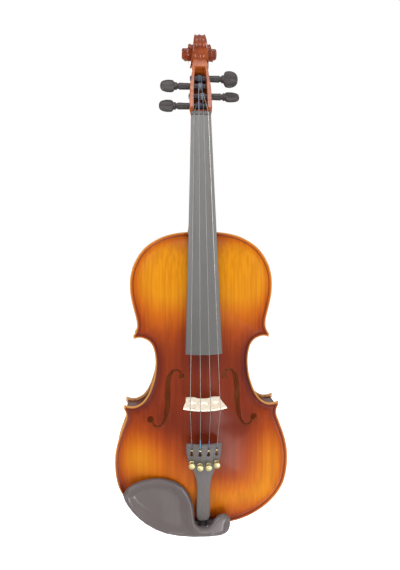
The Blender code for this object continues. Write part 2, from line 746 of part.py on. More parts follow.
def bridge_window(name, points):
    loop = [(x, h) for x, h in points]
    made = bmesh.new()
    rows = []
    for z in (145.0, 172.0):
        rows.append([made.verts.new(at(x, BRIDGE_FOOT - h, z)) for x, h in loop])
    made.faces.new(rows[0])
    made.faces.new(list(reversed(rows[1])))
    for i in range(len(loop)):
        j = (i + 1) % len(loop)
        made.faces.new((rows[0][i], rows[1][i], rows[1][j], rows[0][j]))
    carve(bridge, helper(finish(name, made, None)))


def ring_points(cx, ch, rx, rh, count):
    angles = [math.tau * k / count for k in range(count)]
    return [(cx + rx * math.cos(a), ch + rh * math.sin(a)) for a in angles]


heart_right = [(2.2, 14.6), (4.0, 17.2), (3.8, 19.2), (2.0, 19.8)]
bridge_window("bridge_heart", [(0, 12.6), *heart_right, (0, 18.6), *flip(reversed(heart_right))])
bridge_window("bridge_kidney_right", ring_points(13.4, 14.2, 3.6, 2.9, 12))
bridge_window("bridge_kidney_left", ring_points(-13.4, 14.2, 3.6, 2.9, 12))

# Strings

peg_at = {label: (side, y, z) for label, side, y, z, _, _ in PEGS}
for label, nut_x, bridge_x, tail_x, radius in STRINGS:
    nut_top = board_crown(NUT_Z + 1.6) - 0.8 + BOARD_RADIUS - math.sqrt(BOARD_RADIUS ** 2 - nut_x ** 2)
    over_nut = nut_top - radius - 0.2
    over_bridge = BRIDGE_CROWN + crown_drop(bridge_x) - radius - 0.35
    side, peg_y, peg_z = peg_at[label]
    wind_x = {"g": -4.4, "d": -1.6, "a": 1.6, "e": 4.2}[label]
    peg_front = peg_y - 3.75 - radius - 0.3
    tail_y = tail_crown(106.0) + tail_drop(tail_x, 106.0) - 0.5
    path = [
        (tail_x, tail_y + 0.2, 106.9), (tail_x, tail_y - 0.5, 107.4), (tail_x, tail_y - 0.9, 108.4),
        (mix(tail_x, bridge_x, 0.08), mix(tail_y - 0.9, over_bridge, 0.08), 111.0),
        (mix(tail_x, bridge_x, 0.96), mix(tail_y - 0.9, over_bridge, 0.96), 154.0),
        (bridge_x, over_bridge, BRIDGE_Z),
        (mix(bridge_x, nut_x, 0.01), mix(over_bridge, over_nut, 0.01), 159.6),
        (mix(bridge_x, nut_x, 0.5), mix(over_bridge, over_nut, 0.5), mix(BRIDGE_Z, NUT_Z + 1.6, 0.5)),
        (nut_x, over_nut, NUT_Z + 1.6), (mix(nut_x, wind_x, 0.12), over_nut + 0.35, NUT_Z + 3.2),
        (wind_x, peg_front, peg_z - 1.0), (wind_x, peg_front + 0.2, peg_z + 1.0),
    ]
    tube(f"string_{label}", path, radius, "string", 8)

# Pegs: a tapered shaft, a collar and a flattened head, each turning about its own bore


def oval(centre_x, y, z, tall, thick, turn, count=14, power=2.4):
    ring = []
    for k in range(count):
        a = math.tau * k / count
        c, s = math.cos(a), math.sin(a)
        up = tall * math.copysign(abs(s) ** (2 / power), s)
        out = thick * math.copysign(abs(c) ** (2 / power), c)
        ring.append(at(centre_x, y + out * math.cos(turn) - up * math.sin(turn),
                       z + out * math.sin(turn) + up * math.cos(turn)))
    return ring


PEG_HEAD = (  # distance from the head's start, half height, half thickness
    (-4.8, 3.3, 3.3), (-2.6, 3.3, 3.3), (-2.2, 4.4, 4.4), (-0.8, 4.4, 4.0), (0.0, 5.4, 4.2), (1.2, 8.2, 3.7),
    (4.0, 9.6, 3.2), (8.0, 9.8, 3.0), (12.0, 9.0, 3.1), (15.2, 6.8, 3.1), (16.6, 4.2, 2.4), (17.0, 2.0, 1.2),
)

for label, side, y, z, head, turn in PEGS:
    angle = math.radians(turn)
    stations = [(-15.4, 2.9, 2.9)] + [(x, peg_radius(x), peg_radius(x)) for x in (-15.0, 22.0, head - 5.4)]
    stations += [(head + x, tall, thick) for x, tall, thick in PEG_HEAD]
    rings = [oval(side * x, y, z, tall, thick, angle, 14, 2.0) for x, tall, thick in stations]
    loft(f"peg_{label}", rings, "pegwood", True, at(0, y, z))

# Chinrest: a cup on the bass side that bridges the tailpiece's foot, on cork, with its clamp

CHIN_OUTLINE = (
    (-94.5, 47.0), (-88.6, 55.8), (-79.3, 61.4), (-67.7, 64.9), (-56.1, 66.0), (-45.7, 65.2), (-34.0, 61.6),
    (-24.0, 54.6), (-17.7, 46.4), (-13.7, 37.0), (-11.5, 27.0), (-10.9, 18.0), (-9.0, 11.0), (-4.0, 7.6),
    (3.0, 7.2), (8.4, 9.4), (13.0, 15.4), (19.0, 20.0), (25.6, 20.6), (30.8, 16.6), (32.6, 9.0), (31.6, 0.0),
    (27.6, -5.6), (20.0, -8.4), (6.0, -9.2), (-12.0, -8.6), (-30.0, -6.2), (-45.0, -2.4), (-58.0, 3.6),
    (-70.0, 11.4), (-80.0, 20.6), (-88.0, 31.0), (-93.4, 41.0),
)


CHIN_SKIRT = CHIN_OUTLINE[20:]  # the lower run, where the face slopes back to a thin edge
SKIRT_EDGE = -10.0
PAD_GAP = 3.6  # cork between the belly and the cup
CORK_PADS = (("left", -40.0, -17.8), ("right", 17.8, 25.6))
PAD_LOW = 2.8
PAD_HIGH = 9.0


def chin_top(x, z):
    """The dished face: high along the outer rim, low in the middle of the cup, with the lower skirt."""
    d = polyline_distance(x, z, outline)
    cup = smooth((d - 1.5) / 15.0) * smooth((-4.0 - x) / 18.0)
    lean = mix(-14.4, -20.0, smooth((45.0 - z) / 52.0))
    face = lean + 5.5 * cup + 2.0 * (1.0 - smooth(d / 2.6))
    width = mix(4.0, 8.6, smooth((x + 93.0) / 120.0))
    down = polyline_distance(x, z, CHIN_SKIRT, False) / width
    return mix(SKIRT_EDGE, min(face, SKIRT_EDGE), min(1.0, down))


def chin_floor(x, z):
    """The highest the underside may come: clear of the belly, the tail gut and the clamp's studs."""
    clear = z < 1.6 or abs(x) < 13 and z < 15
    return min(min(belly_outer(x, z), 0.0) - PAD_GAP, -7.2 if clear else 0.0)


def chin_under(x, z):
    d = polyline_distance(x, z, outline)
    return min(chin_floor(x, z), chin_top(x, z) + mix(2.0, 20.0, smooth(d / 9.0)))


outline = list(CHIN_OUTLINE)
points = [Vector(p) for p in outline]
for _, low, high in CORK_PADS:
    for z in (1.4, 2.2, 6.0, 9.8):
        points += [Vector((mix(low - 0.8, high + 0.8, k / 3), z)) for k in range(4)]
links = [(i, (i + 1) % len(outline)) for i in range(len(outline))]
for margin in (3.0, 9.0):
    for i, (x, z) in enumerate(outline):
        ax, az = outline[i - 1]
        bx, bz = outline[(i + 1) % len(outline)]
        size = math.hypot(bx - ax, bz - az)
        px, pz = x + (bz - az) / size * margin, z - (bx - ax) / size * margin
        if inside(px, pz, outline) and polyline_distance(px, pz, outline) > margin - 0.4:
            points.append(Vector((px, pz)))
for row in range(8):
    for column in range(12):
        x, z = -88 + column * 9.5 + (row % 2) * 4.7, -2 + row * 8.6
        if z > 11 and inside(x, z, outline) and polyline_distance(x, z, outline) > 12:
            points.append(Vector((x, z)))
net, _, faces, _, _, _ = delaunay_2d_cdt(points, links, [], 1, 1e-6)
cup = bmesh.new()
front = [cup.verts.new(at(p.x, chin_top(p.x, p.y), p.y)) for p in net]
back = [cup.verts.new(at(p.x, chin_under(p.x, p.y), p.y)) for p in net]
rim_edges = {}
for face in faces:
    cup.faces.new([front[i] for i in face])
    cup.faces.new([back[i] for i in reversed(face)])
    for a, b in zip(face, face[1:] + face[:1]):
        if (b, a) in rim_edges:
            del rim_edges[(b, a)]
        else:
            rim_edges[(a, b)] = True
for a, b in rim_edges:
    cup.faces.new((front[b], front[a], back[a], back[b]))
finish("chinrest", cup, "ebony", True)

for label, low, high in CORK_PADS:
    under = [(low, PAD_HIGH), (high, PAD_HIGH), (high, PAD_LOW), (low, PAD_LOW)]
    pad = bmesh.new()
    front = [pad.verts.new(at(x, chin_floor(x, z) + 0.3, z)) for x, z in under]
    back = [pad.verts.new(at(x, -0.3, z)) for x, z in under]
    pad.faces.new(front)
    pad.faces.new(list(reversed(back)))
    for i in range(4):
        j = (i + 1) % 4
        pad.faces.new((front[i], back[i], back[j], front[j]))
    finish(f"chinrest_cork_{label}", pad, "cork")

CLAMP_X = 21.0
CLAMP_Z = -4.3
for side, label in ((-1, "left"), (1, "right")):
    turned(f"clamp_stud_{label}", (side * CLAMP_X, -6.8, CLAMP_Z), (0, 1, 0),
           [(0, 1.6), (22.0, 1.6), (22.6, 1.1)], "steel", 16)
    sleeve = []
    for y, r in ((3.6, 1.72), (3.6, 2.6), (4.6, 3.0), (33.0, 3.0), (34.0, 2.6), (34.0, 1.72)):
        sleeve.append([at(side * CLAMP_X + r * math.cos(math.tau * k / 16), y,
                          CLAMP_Z + r * math.sin(math.tau * k / 16)) for k in range(16)])
    loft(f"clamp_barrel_{label}", sleeve, "steel", True, at(side * CLAMP_X, 19, CLAMP_Z), True)

foot_rings = []
for y in (41.3, 43.1):
    foot_rings.append([at(x, y, z) for x, z in ((-27.0, -7.0), (27.0, -7.0), (24.0, 11.0), (-24.0, 11.0))])
foot = loft("clamp_foot", foot_rings, "steel", False)
for side, label in ((-1, "left"), (1, "right")):
    leg = turned(f"foot_leg_{label}", (side * CLAMP_X, 42.0, CLAMP_Z), (0, -1, 0),
                 [(0, 1.6), (19.0, 1.6), (19.6, 1.1)], None, 16)
    carve(foot, helper(leg), "UNION")
cork_high = max(back_outer(x, z) for x in (0, 12, 22) for z in (8.0, 9.6)) + 0.35
cork_rows = []
for z, half, front in ((1.6, 23.5, BACK_EDGE + 0.35), (9.6, 22.0, cork_high)):
    cork_rows.append([at(-half, front, z), at(half, front, z), at(half, 41.0, z), at(-half, 41.0, z)])
loft("foot_cork", cork_rows, "cork", False)
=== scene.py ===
import math

import bmesh
import bpy
import numpy as np
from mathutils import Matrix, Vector
from mathutils.geometry import delaunay_2d_cdt


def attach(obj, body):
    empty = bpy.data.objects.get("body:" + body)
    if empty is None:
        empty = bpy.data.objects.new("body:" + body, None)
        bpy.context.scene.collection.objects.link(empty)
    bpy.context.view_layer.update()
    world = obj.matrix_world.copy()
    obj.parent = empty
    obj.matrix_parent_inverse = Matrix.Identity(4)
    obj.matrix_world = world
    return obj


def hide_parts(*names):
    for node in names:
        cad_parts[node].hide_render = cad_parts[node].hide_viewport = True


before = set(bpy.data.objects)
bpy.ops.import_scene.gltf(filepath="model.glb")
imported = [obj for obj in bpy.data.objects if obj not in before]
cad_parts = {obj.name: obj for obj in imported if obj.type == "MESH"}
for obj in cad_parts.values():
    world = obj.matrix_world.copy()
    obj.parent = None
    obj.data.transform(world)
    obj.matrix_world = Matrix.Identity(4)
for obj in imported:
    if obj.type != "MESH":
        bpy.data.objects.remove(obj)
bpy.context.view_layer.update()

# Sizes are in millimetres in the maker's frame: x across, y depth from the belly's edge towards
# the back, z height above the body's bottom edge. The origin is where the hanger's yoke takes the head.
mm = 0.001
hanger = (0.0, 24.0, 558.0)


def place(x, y, z):
    return Vector(((x - hanger[0]) * mm, (y - hanger[1]) * mm, (z - hanger[2]) * mm))


def mix(a, b, t):
    return a + (b - a) * t


def ease(t):
    t = min(1.0, max(0.0, t))
    return t * t * (3.0 - 2.0 * t)


def easeAll(t):
    t = np.clip(t, 0.0, 1.0)
    return t * t * (3.0 - 2.0 * t)


def curveThrough(knots, steps):
    first = tuple(2 * a - b for a, b in zip(knots[0], knots[1]))
    last = tuple(2 * a - b for a, b in zip(knots[-1], knots[-2]))
    run = [first] + [tuple(k) for k in knots] + [last]
    made = []
    for i in range(1, len(run) - 2):
        for k in range(steps):
            t = k / steps
            made.append(tuple(
                0.5 * (2 * b + (c - a) * t + (2 * a - 5 * b + 4 * c - d) * t * t
                       + (3 * b - a - 3 * c + d) * t ** 3)
                for a, b, c, d in zip(*run[i - 1:i + 3])
            ))
    return made + [tuple(knots[-1])]


def between(knots, value):
    # Straight-line reading of a small list of (value, result) pairs
    return float(np.interp(value, [k[0] for k in knots], [k[1] for k in knots]))


# Materials

def linear(code):
    parts = [int(code[i:i + 2], 16) / 255 for i in (1, 3, 5)]
    return tuple(p / 12.92 if p <= 0.04045 else ((p + 0.055) / 1.055) ** 2.4 for p in parts) + (1.0,)


def addNode(tree, kind, sockets=None, **settings):
    node = tree.nodes.new(kind)
    for name, value in settings.items():
        setattr(node, name, value)
    for name, value in (sockets or {}).items():
        if isinstance(value, bpy.types.NodeSocket):
            tree.links.new(value, node.inputs[name])
        else:
            node.inputs[name].default_value = value
    return node


def newFinish(name, **sockets):
    made = bpy.data.materials.new(name)
    made.use_nodes = True
    tree = made.node_tree
    shader = tree.nodes["Principled BSDF"]
    for socket, value in sockets.items():
        shader.inputs[socket.replace("_", " ")].default_value = value
    return made, tree, shader


def ramp(tree, source, stops, interpolation="LINEAR"):
    node = addNode(tree, "ShaderNodeValToRGB", {"Fac": source})
    bar = node.color_ramp
    bar.interpolation = interpolation
    while len(bar.elements) < len(stops):
        bar.elements.new(0.5)
    for element, (spot, colour) in zip(bar.elements, stops):
        element.position = spot
        element.color = linear(colour) if isinstance(colour, str) else (colour, colour, colour, 1.0)
    return node.outputs["Color"]


def stretched(tree, scale, turn=(0, 0, 0), centre=(0, 0, 0)):
    # Object coordinates turned into pattern units along each axis
    spot = addNode(tree, "ShaderNodeTexCoord").outputs["Object"]
    return addNode(tree, "ShaderNodeMapping",
                   {"Vector": spot, "Scale": scale, "Rotation": turn, "Location": centre}).outputs["Vector"]


def noise(tree, vector, scale=1.0, detail=3.0, roughness=0.55, distortion=0.0):
    return addNode(tree, "ShaderNodeTexNoise", {"Vector": vector, "Scale": scale, "Detail": detail,
                                                "Roughness": roughness,
                                                "Distortion": distortion}).outputs["Fac"]


def bump(tree, shader, height, depth):
    # depth is the pattern's height from top to bottom in millimetres
    node = addNode(tree, "ShaderNodeBump", {"Height": height, "Strength": 1.0, "Distance": depth * mm})
    tree.links.new(node.outputs["Normal"], shader.inputs["Normal"])
    return node.outputs["Normal"]


def blendColours(tree, factor, first, second, mode="MIX"):
    node = addNode(tree, "ShaderNodeMix", data_type="RGBA", blend_type=mode)
    pairs = ((node.inputs[0], factor), (node.inputs[6], first), (node.inputs[7], second))
    for socket, value in pairs:
        if isinstance(value, bpy.types.NodeSocket):
            tree.links.new(value, socket)
        else:
            socket.default_value = linear(value) if isinstance(value, str) else value
    return node.outputs[2]


def attribute(tree, name):
    return addNode(tree, "ShaderNodeAttribute", attribute_name=name).outputs["Fac"]


spruceLook = {
    "dark": "#481410", "red": "#70260c", "brown": "#903a06", "amber": "#ac5702", "gold": "#bd7702",
    # bead is the colour of the painted highlight on the rounded edge; line is the purfling
    "bead": "#b9823f", "line": "#45180c",
    "grain": 1.7,  # mm between year rings, about twice the real spacing so that it shows
    "gloss": 0.42, "coat": 0.1, "coatGloss": 0.2, "level": 0.1,
}


def varnishedSpruce():
    # Spirit-varnished spruce, hand-rubbed: straight year rings under a shaded amber film that
    # gives the eye a soft wide sheen over a clear grain; the film's colour also carries painted shade and
    # reflection under the fingerboard's end and the bridge, and a painted highlight on the edge bead
    look = spruceLook
    made, tree, shader = newFinish("varnishedSpruce", Roughness=look["gloss"], IOR=1.5,
                                   Coat_Weight=look["coat"],
                                   Coat_Roughness=look["coatGloss"], Coat_IOR=1.5,
                                   Specular_IOR_Level=look["level"])
    pitch = 1000.0 / look["grain"]
    rings = noise(tree, stretched(tree, (pitch * 0.62, pitch * 0.62, pitch * 0.012)), 1.0, 2.0, 0.5)
    wide = noise(tree, stretched(tree, (90, 90, 2.2)), 1.0, 2.0, 0.5)
    cloud = noise(tree, stretched(tree, (26, 26, 14)), 1.0, 3.0, 0.6)
    shade = attribute(tree, "shading")
    mottled = addNode(tree, "ShaderNodeMath", {0: shade, 1: addNode(
        tree, "ShaderNodeMath", {0: cloud, 1: 0.12, 2: -0.06}, operation="MULTIPLY_ADD").outputs[0]},
                      operation="ADD")
    film = ramp(tree, mottled.outputs[0], ((0.0, look["dark"]), (0.25, look["red"]), (0.5, look["brown"]),
                                           (0.75, look["amber"]), (1.0, look["gold"])))
    fine = ramp(tree, rings, ((0.36, "#bfae9f"), (0.62, "#ffffff")))
    broad = ramp(tree, wide, ((0.3, "#e0d4ca"), (0.7, "#ffffff")))
    grained = blendColours(tree, 0.34, film, fine, "MULTIPLY")
    grained = blendColours(tree, 0.08, grained, broad, "MULTIPLY")
    edge = attribute(tree, "fromEdge")
    # Painted highlight: the edge bead is painted paler, as where its rounding catches the light
    wearAndEdgeHighlight = ramp(tree, edge, ((0.0, 1.0), (0.09, 0.85), (0.2, 0.0), (1.0, 0.0)))
    rimmed = blendColours(tree, wearAndEdgeHighlight, grained, look["bead"])
    inlay = ramp(tree, edge, ((0.32, 0.0), (0.335, 0.9), (0.36, 0.9), (0.37, 0.3), (0.39, 0.3), (0.40, 0.9),
                              (0.425, 0.9), (0.44, 0.0)))
    lined = blendColours(tree, inlay, rimmed, look["line"])
    tree.links.new(lined, shader.inputs["Base Color"])
    bump(tree, shader, rings, 0.02)
    return made


mapleLook = {
    "dark": "#4b1709", "red": "#7a2d0e", "amber": "#b35c14", "gold": "#d48a2c",
    "flame": 9.0,  # mm between flame bars
}


def flamedMaple(name, bright, along, leaning=0.0, gloss=0.3, edged=False, coat=0.35, level=0.4):
    # Quarter-cut maple under amber varnish: bars of flame that catch the light, fine pores, soft gloss
    look = mapleLook
    made, tree, shader = newFinish(name, Roughness=gloss, IOR=1.5, Coat_Weight=coat, Coat_Roughness=0.16,
                                   Coat_IOR=1.5,
                                   Specular_IOR_Level=level)
    pitch = 1000.0 / look["flame"]
    scale = {"x": (pitch, pitch * 0.10, pitch * 0.10), "z": (pitch * 0.10, pitch * 0.10, pitch),
             "rim": (pitch, pitch * 0.06, pitch)}[along]
    bars = noise(tree, stretched(tree, scale, (0, leaning, 0)), 1.0, 2.0, 0.45, 0.35)
    pores = noise(tree, stretched(tree, (900, 900, 45)), 1.0, 2.0, 0.6)
    cloud = noise(tree, stretched(tree, (22, 22, 22)), 1.0, 3.0, 0.55)
    if edged:
        tone = attribute(tree, "shading")
    else:
        tone = addNode(tree, "ShaderNodeMath", {0: cloud, 1: 0.35, 2: bright - 0.17},
                       operation="MULTIPLY_ADD").outputs[0]
    film = ramp(tree, tone,
                ((0.0, look["dark"]), (0.35, look["red"]), (0.7, look["amber"]), (1.0, look["gold"])))
    flame = ramp(tree, bars, ((0.34, "#9a7763"), (0.5, "#ffffff"), (0.66, "#b89077")))
    barred = blendColours(tree, 0.55, film, flame, "MULTIPLY")
    pored = blendColours(tree, 0.35, barred, ramp(tree, pores, ((0.4, "#a08c80"), (0.6, "#ffffff"))),
                         "MULTIPLY")
    if edged:
        edge = attribute(tree, "fromEdge")
        inlay = ramp(tree, edge,
                     ((0.30, 0.0), (0.325, 1.0), (0.36, 1.0), (0.375, 0.4), (0.40, 0.4), (0.415, 1.0),
                                  (0.45, 1.0), (0.475, 0.0)))
        # Painted highlight on the edge bead, as on the belly
        wearAndEdgeHighlight = ramp(tree, edge, ((0.0, 1.0), (0.14, 0.8), (0.26, 0.0), (1.0, 0.0)))
        pored = blendColours(tree, inlay, blendColours(tree, wearAndEdgeHighlight, pored, "#b9702c"), "#2c1008")
    tree.links.new(pored, shader.inputs["Base Color"])
    rough = ramp(tree, bars, ((0.3, gloss - 0.05), (0.7, gloss + 0.1)))
    tree.links.new(rough, shader.inputs["Roughness"])
    bump(tree, shader, bars, 0.03)
    return made


def rawSpruce(name="rawSpruce", tint="#b98d5c"):
    # Unfinished planed spruce and willow inside the body: pale, dry and matt, and given a faint
    # warm painted glow, so that the inside reads warm through the sound holes
    made, tree, shader = newFinish(name, Roughness=0.75, IOR=1.5, Emission_Strength=0.16)
    fibres = noise(tree, stretched(tree, (420, 420, 10)), 1.0, 3.0, 0.55)
    stain = ramp(tree, fibres, ((0.3, "#8a6238"), (0.6, tint)))
    tree.links.new(stain, shader.inputs["Base Color"])
    shader.inputs["Emission Color"].default_value = linear("#b0562e")
    bump(tree, shader, fibres, 0.05)
    return made


def stainedCut():
    # The sawn walls of the sound holes, stained a warm brown so that they read as a soft line
    made, tree, shader = newFinish("stainedCut", Roughness=0.6, IOR=1.5)
    fibres = noise(tree, stretched(tree, (300, 300, 300)), 1.0, 3.0, 0.6)
    tree.links.new(ramp(tree, fibres, ((0.3, "#6b3d20"), (0.7, "#8f5a34"))), shader.inputs["Base Color"])
    bump(tree, shader, fibres, 0.08)
    return made


def ebonisedWood(name, low, high, gloss, grainAlong="z", coat=0.15, sheenFade=()):
    # Hard wood stained black and burnished with oil: satin, with fine open pores along the grain;
    # the last argument gives (z, tint) at two heights in metres, a painted sheen that leaves one end lighter
    # than the other
    made, tree, shader = newFinish(name, Roughness=gloss, IOR=1.5, Coat_Weight=coat, Coat_Roughness=0.3)
    scale = {"z": (620, 620, 14), "x": (30, 620, 620)}[grainAlong]
    fibres = noise(tree, stretched(tree, scale), 1.0, 3.0, 0.6)
    wearAndEdgeHighlight = noise(tree, stretched(tree, (40, 40, 18)), 1.0, 3.0, 0.6)
    base = ramp(tree, fibres, ((0.32, low), (0.66, high)))
    wornAndSheened = blendColours(tree, 0.25, base, ramp(tree, wearAndEdgeHighlight, ((0.3, "#c9c4c0"), (0.7, "#ffffff"))),
                          "MULTIPLY")
    if sheenFade:
        # Painted sheen: lighter towards the upper end
        spot = addNode(tree, "ShaderNodeSeparateXYZ", {
            "Vector": addNode(tree, "ShaderNodeTexCoord").outputs["Object"]}).outputs["Z"]
        span = addNode(tree, "ShaderNodeMapRange",
                       {"Value": spot, "From Min": sheenFade[0][0], "From Max": sheenFade[1][0]})
        tint = ramp(tree, span.outputs["Result"], ((0.0, sheenFade[0][1]), (1.0, sheenFade[1][1])))
        wornAndSheened = blendColours(tree, 1.0, wornAndSheened, tint, "MULTIPLY")
    tree.links.new(wornAndSheened, shader.inputs["Base Color"])
    tree.links.new(ramp(tree, wearAndEdgeHighlight, ((0.3, gloss - 0.06), (0.7, gloss + 0.1))), shader.inputs["Roughness"])
    bump(tree, shader, fibres, 0.025)
    return made


def plainMaple():
    # Unvarnished bridge maple, cut on the quarter: creamy with short darker flecks
    made, tree, shader = newFinish("plainMaple", Roughness=0.55, IOR=1.5, Subsurface_Weight=0.08)
    shader.inputs["Subsurface Scale"].default_value = 0.002
    flecks = noise(tree, stretched(tree, (330, 330, 1300)), 1.0, 2.0, 0.5)
    warm = noise(tree, stretched(tree, (60, 60, 60)), 1.0, 3.0, 0.6)
    base = blendColours(tree, ramp(tree, warm, ((0.3, 0.0), (0.7, 1.0))), "#f3ecd2", "#faf5e4")
    flecked = blendColours(tree, ramp(tree, flecks, ((0.60, 0.0), (0.72, 0.75))), base, "#b98c52")
    tree.links.new(flecked, shader.inputs["Base Color"])
    bump(tree, shader, flecks, 0.03)
    return made


def bareMetal(name, colour, rough, scratch):
    # Plated brass or drawn steel: bright, with hairline brushing that spreads the glint
    made, tree, shader = newFinish(name, Base_Color=linear(colour), Metallic=1.0, Roughness=rough)
    hair = noise(tree, stretched(tree, (scratch, scratch * 0.15, scratch)), 1.0, 3.0, 0.7)
    soft = noise(tree, stretched(tree, (140, 140, 140)), 1.0, 2.0, 0.5)
    tone = blendColours(tree, ramp(tree, soft, ((0.35, 0.0), (0.7, 0.35))), colour, "#8f8577")
    tree.links.new(tone, shader.inputs["Base Color"])
    tree.links.new(ramp(tree, hair, ((0.3, rough * 0.8), (0.7, rough * 1.5))), shader.inputs["Roughness"])
    bump(tree, shader, hair, 0.006)
    return made


def woundMetal():
    # Flat aluminium ribbon wound on a core: pale satin with a close cross rib, drawn coarser to show
    made, tree, shader = newFinish("woundMetal", Base_Color=linear("#a9a6a3"), Metallic=1.0, Roughness=0.42)
    turns = addNode(tree, "ShaderNodeTexWave", {"Vector": stretched(tree, (1, 1, 1)), "Scale": 520.0},
                    wave_type="BANDS", bands_direction="Z").outputs["Fac"]
    tree.links.new(ramp(tree, turns, ((0.2, "#8f8c89"), (0.8, "#b7b4b0"))), shader.inputs["Base Color"])
    bump(tree, shader, turns, 0.05)
    return made


def silkWrap(name, colour, second):
    # Dyed silk thread close-wound over the string's end: matt, with a thread line every half millimetre
    made, tree, shader = newFinish(name, Roughness=0.8, IOR=1.5, Sheen_Weight=0.4)
    turns = addNode(tree, "ShaderNodeTexWave", {"Vector": stretched(tree, (1, 1, 1)), "Scale": 320.0},
                    wave_type="BANDS", bands_direction="Z").outputs["Fac"]
    tree.links.new(ramp(tree, turns, ((0.2, second), (0.7, colour))), shader.inputs["Base Color"])
    bump(tree, shader, turns, 0.06)
    return made


def nylonCord():
    # Black moulded nylon: smooth and slightly greasy in its shine
    made, tree, shader = newFinish("nylonCord", Roughness=0.38, IOR=1.53)
    mould = noise(tree, stretched(tree, (500, 500, 500)), 1.0, 2.0, 0.5)
    tree.links.new(ramp(tree, mould, ((0.3, "#151414"), (0.7, "#242222"))), shader.inputs["Base Color"])
    bump(tree, shader, mould, 0.02)
    return made


def cork():
    # Sheet cork: matt tan granules with dark flecks
    made, tree, shader = newFinish("sheetCork", Roughness=0.85, IOR=1.45)
    grains = addNode(tree, "ShaderNodeTexVoronoi", {"Vector": stretched(tree, (1, 1, 1)), "Scale": 900.0})
    specks = noise(tree, stretched(tree, (1100, 1100, 1100)), 1.0, 2.0, 0.6)
    base = blendColours(tree, grains.outputs["Distance"], "#a3764c", "#c79c6b")
    flecked = blendColours(tree, ramp(tree, specks, ((0.62, 0.0), (0.7, 1.0))), base, "#4f3019")
    tree.links.new(flecked, shader.inputs["Base Color"])
    bump(tree, shader, grains.outputs["Distance"], 0.15)
    return made


finishes = {
    "belly": varnishedSpruce(),
    "back": flamedMaple("backMaple", 0.6, "z", edged=True),
    "ribs": flamedMaple("ribMaple", 0.08, "rim", gloss=0.5, coat=0.03, level=0.1),
    "neck": flamedMaple("neckMaple", 0.55, "z", gloss=0.3, coat=0.5),
    "scroll": flamedMaple("scrollMaple", 0.4, "z", gloss=0.22, coat=0.5, level=0.25),
    "raw": rawSpruce(),
    "cut": stainedCut(),
    # The board is black; its grey base colour and its lighter end by the nut are painted sheen, standing in
    # for the studio light's reflection
    "board": ebonisedWood("boardWood", "#6b6a69", "#706f6e", 0.5,
                          sheenFade=((-0.342, "#c9c9c9"), (-0.07, "#ffffff"))),
    "fitting": ebonisedWood("fittingWood", "#544e4d", "#5c5655", 0.44),
    "chin": ebonisedWood("chinrestWood", "#524848", "#564c4c", 0.34, coat=0.25),
    "peg": ebonisedWood("pegWood", "#2c2525", "#352d2d", 0.4, "x"),
    "bridge": plainMaple(),
    "wound": woundMetal(),
    "plainString": bareMetal("plainString", "#d6d2cc", 0.25, 3000),
    "brass": bareMetal("giltBrass", "#fbeeb0", 0.34, 2400),
    "steel": bareMetal("nickelSteel", "#c9c6c2", 0.22, 2000),
    "dark": bareMetal("oxidisedSteel", "#4a4b50", 0.42, 2000),
    "nylon": nylonCord(),
    "cork": cork(),
}
print("finishes made:", len(finishes))


# Makers of shapes

def keep(name, shape, body, *looks, standsFor=(), slot=None, crease=35.0, flat=False):
    # Writes the bmesh as a piece that rides on its body and stands for its plain nodes
    mesh = bpy.data.meshes.new(name)
    shape.to_mesh(mesh)
    shape.free()
    made = bpy.data.objects.new(name, mesh)
    bpy.context.scene.collection.objects.link(made)
    for look in looks:
        mesh.materials.append(finishes[look])
    if not flat:
        mesh.shade_smooth()
        mesh.set_sharp_from_angle(angle=math.radians(crease))
    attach(made, body)
    if standsFor:
        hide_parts(*standsFor)
    return made


def closeUp(shape, within=0.0005):
    bmesh.ops.remove_doubles(shape, verts=shape.verts[:], dist=within * mm)
    bmesh.ops.holes_fill(shape, edges=[e for e in shape.edges if e.is_boundary], sides=0)
    bmesh.ops.recalc_face_normals(shape, faces=shape.faces[:])
    return shape


def loft(rings, looped=False):
    # A grid wrapped so that each of its rows is one ring of points
    rows = rings + [rings[0]] if looped else rings
    count = len(rows[0])
    shape = bmesh.new()
    bmesh.ops.create_grid(shape, x_segments=len(rows) - 1, y_segments=count, size=0.5)
    for vertex in shape.verts:
        i = round((vertex.co.x + 0.5) * (len(rows) - 1))
        j = round((vertex.co.y + 0.5) * count) % count
        vertex.co = rows[i][j]
    return closeUp(shape)


def turned(centre, direction, profile, steps=32):
    # Spins a profile of (distance along the axis, radius) round the axis
    along = Vector(direction).normalized()
    guess = Vector((0, 0, 1)) if abs(along.z) < 0.8 else Vector((1, 0, 0))
    out = along.cross(guess).normalized()
    base = place(*centre)
    shape = bmesh.new()
    spots = [shape.verts.new(base + along * s * mm + out * r * mm) for s, r in profile]
    edges = [shape.edges.new(pair) for pair in zip(spots, spots[1:])]
    bmesh.ops.spin(shape, geom=spots + edges, cent=base, axis=along, angle=math.tau, steps=steps,
                   use_merge=True)
    return closeUp(shape)


def joined(*shapes):
    # Several closed shapes as one piece
    whole = bmesh.new()
    for shape in shapes:
        store = bpy.data.meshes.new("store")
        shape.to_mesh(store)
        shape.free()
        whole.from_mesh(store)
        bpy.data.meshes.remove(store)
    return whole


def tubeRings(path, radius, sides=12):
    rings = []
    normal = None
    for i, spot in enumerate(path):
        along = (path[min(len(path) - 1, i + 1)] - path[max(0, i - 1)]).normalized()
        if normal is None:
            guess = Vector((1, 0, 0)) if abs(along.x) < 0.8 else Vector((0, 1, 0))
            normal = along.cross(guess).normalized()
        normal = (normal - along * normal.dot(along)).normalized()
        other = along.cross(normal)
        size = radius(i / (len(path) - 1)) if callable(radius) else radius
        rings.append([spot + (normal * math.cos(math.tau * k / sides)
                              + other * math.sin(math.tau * k / sides))
                      * size * mm for k in range(sides)])
    return rings


def tube(path, radius, sides=12):
    return loft(tubeRings([place(*p) for p in path], radius, sides))


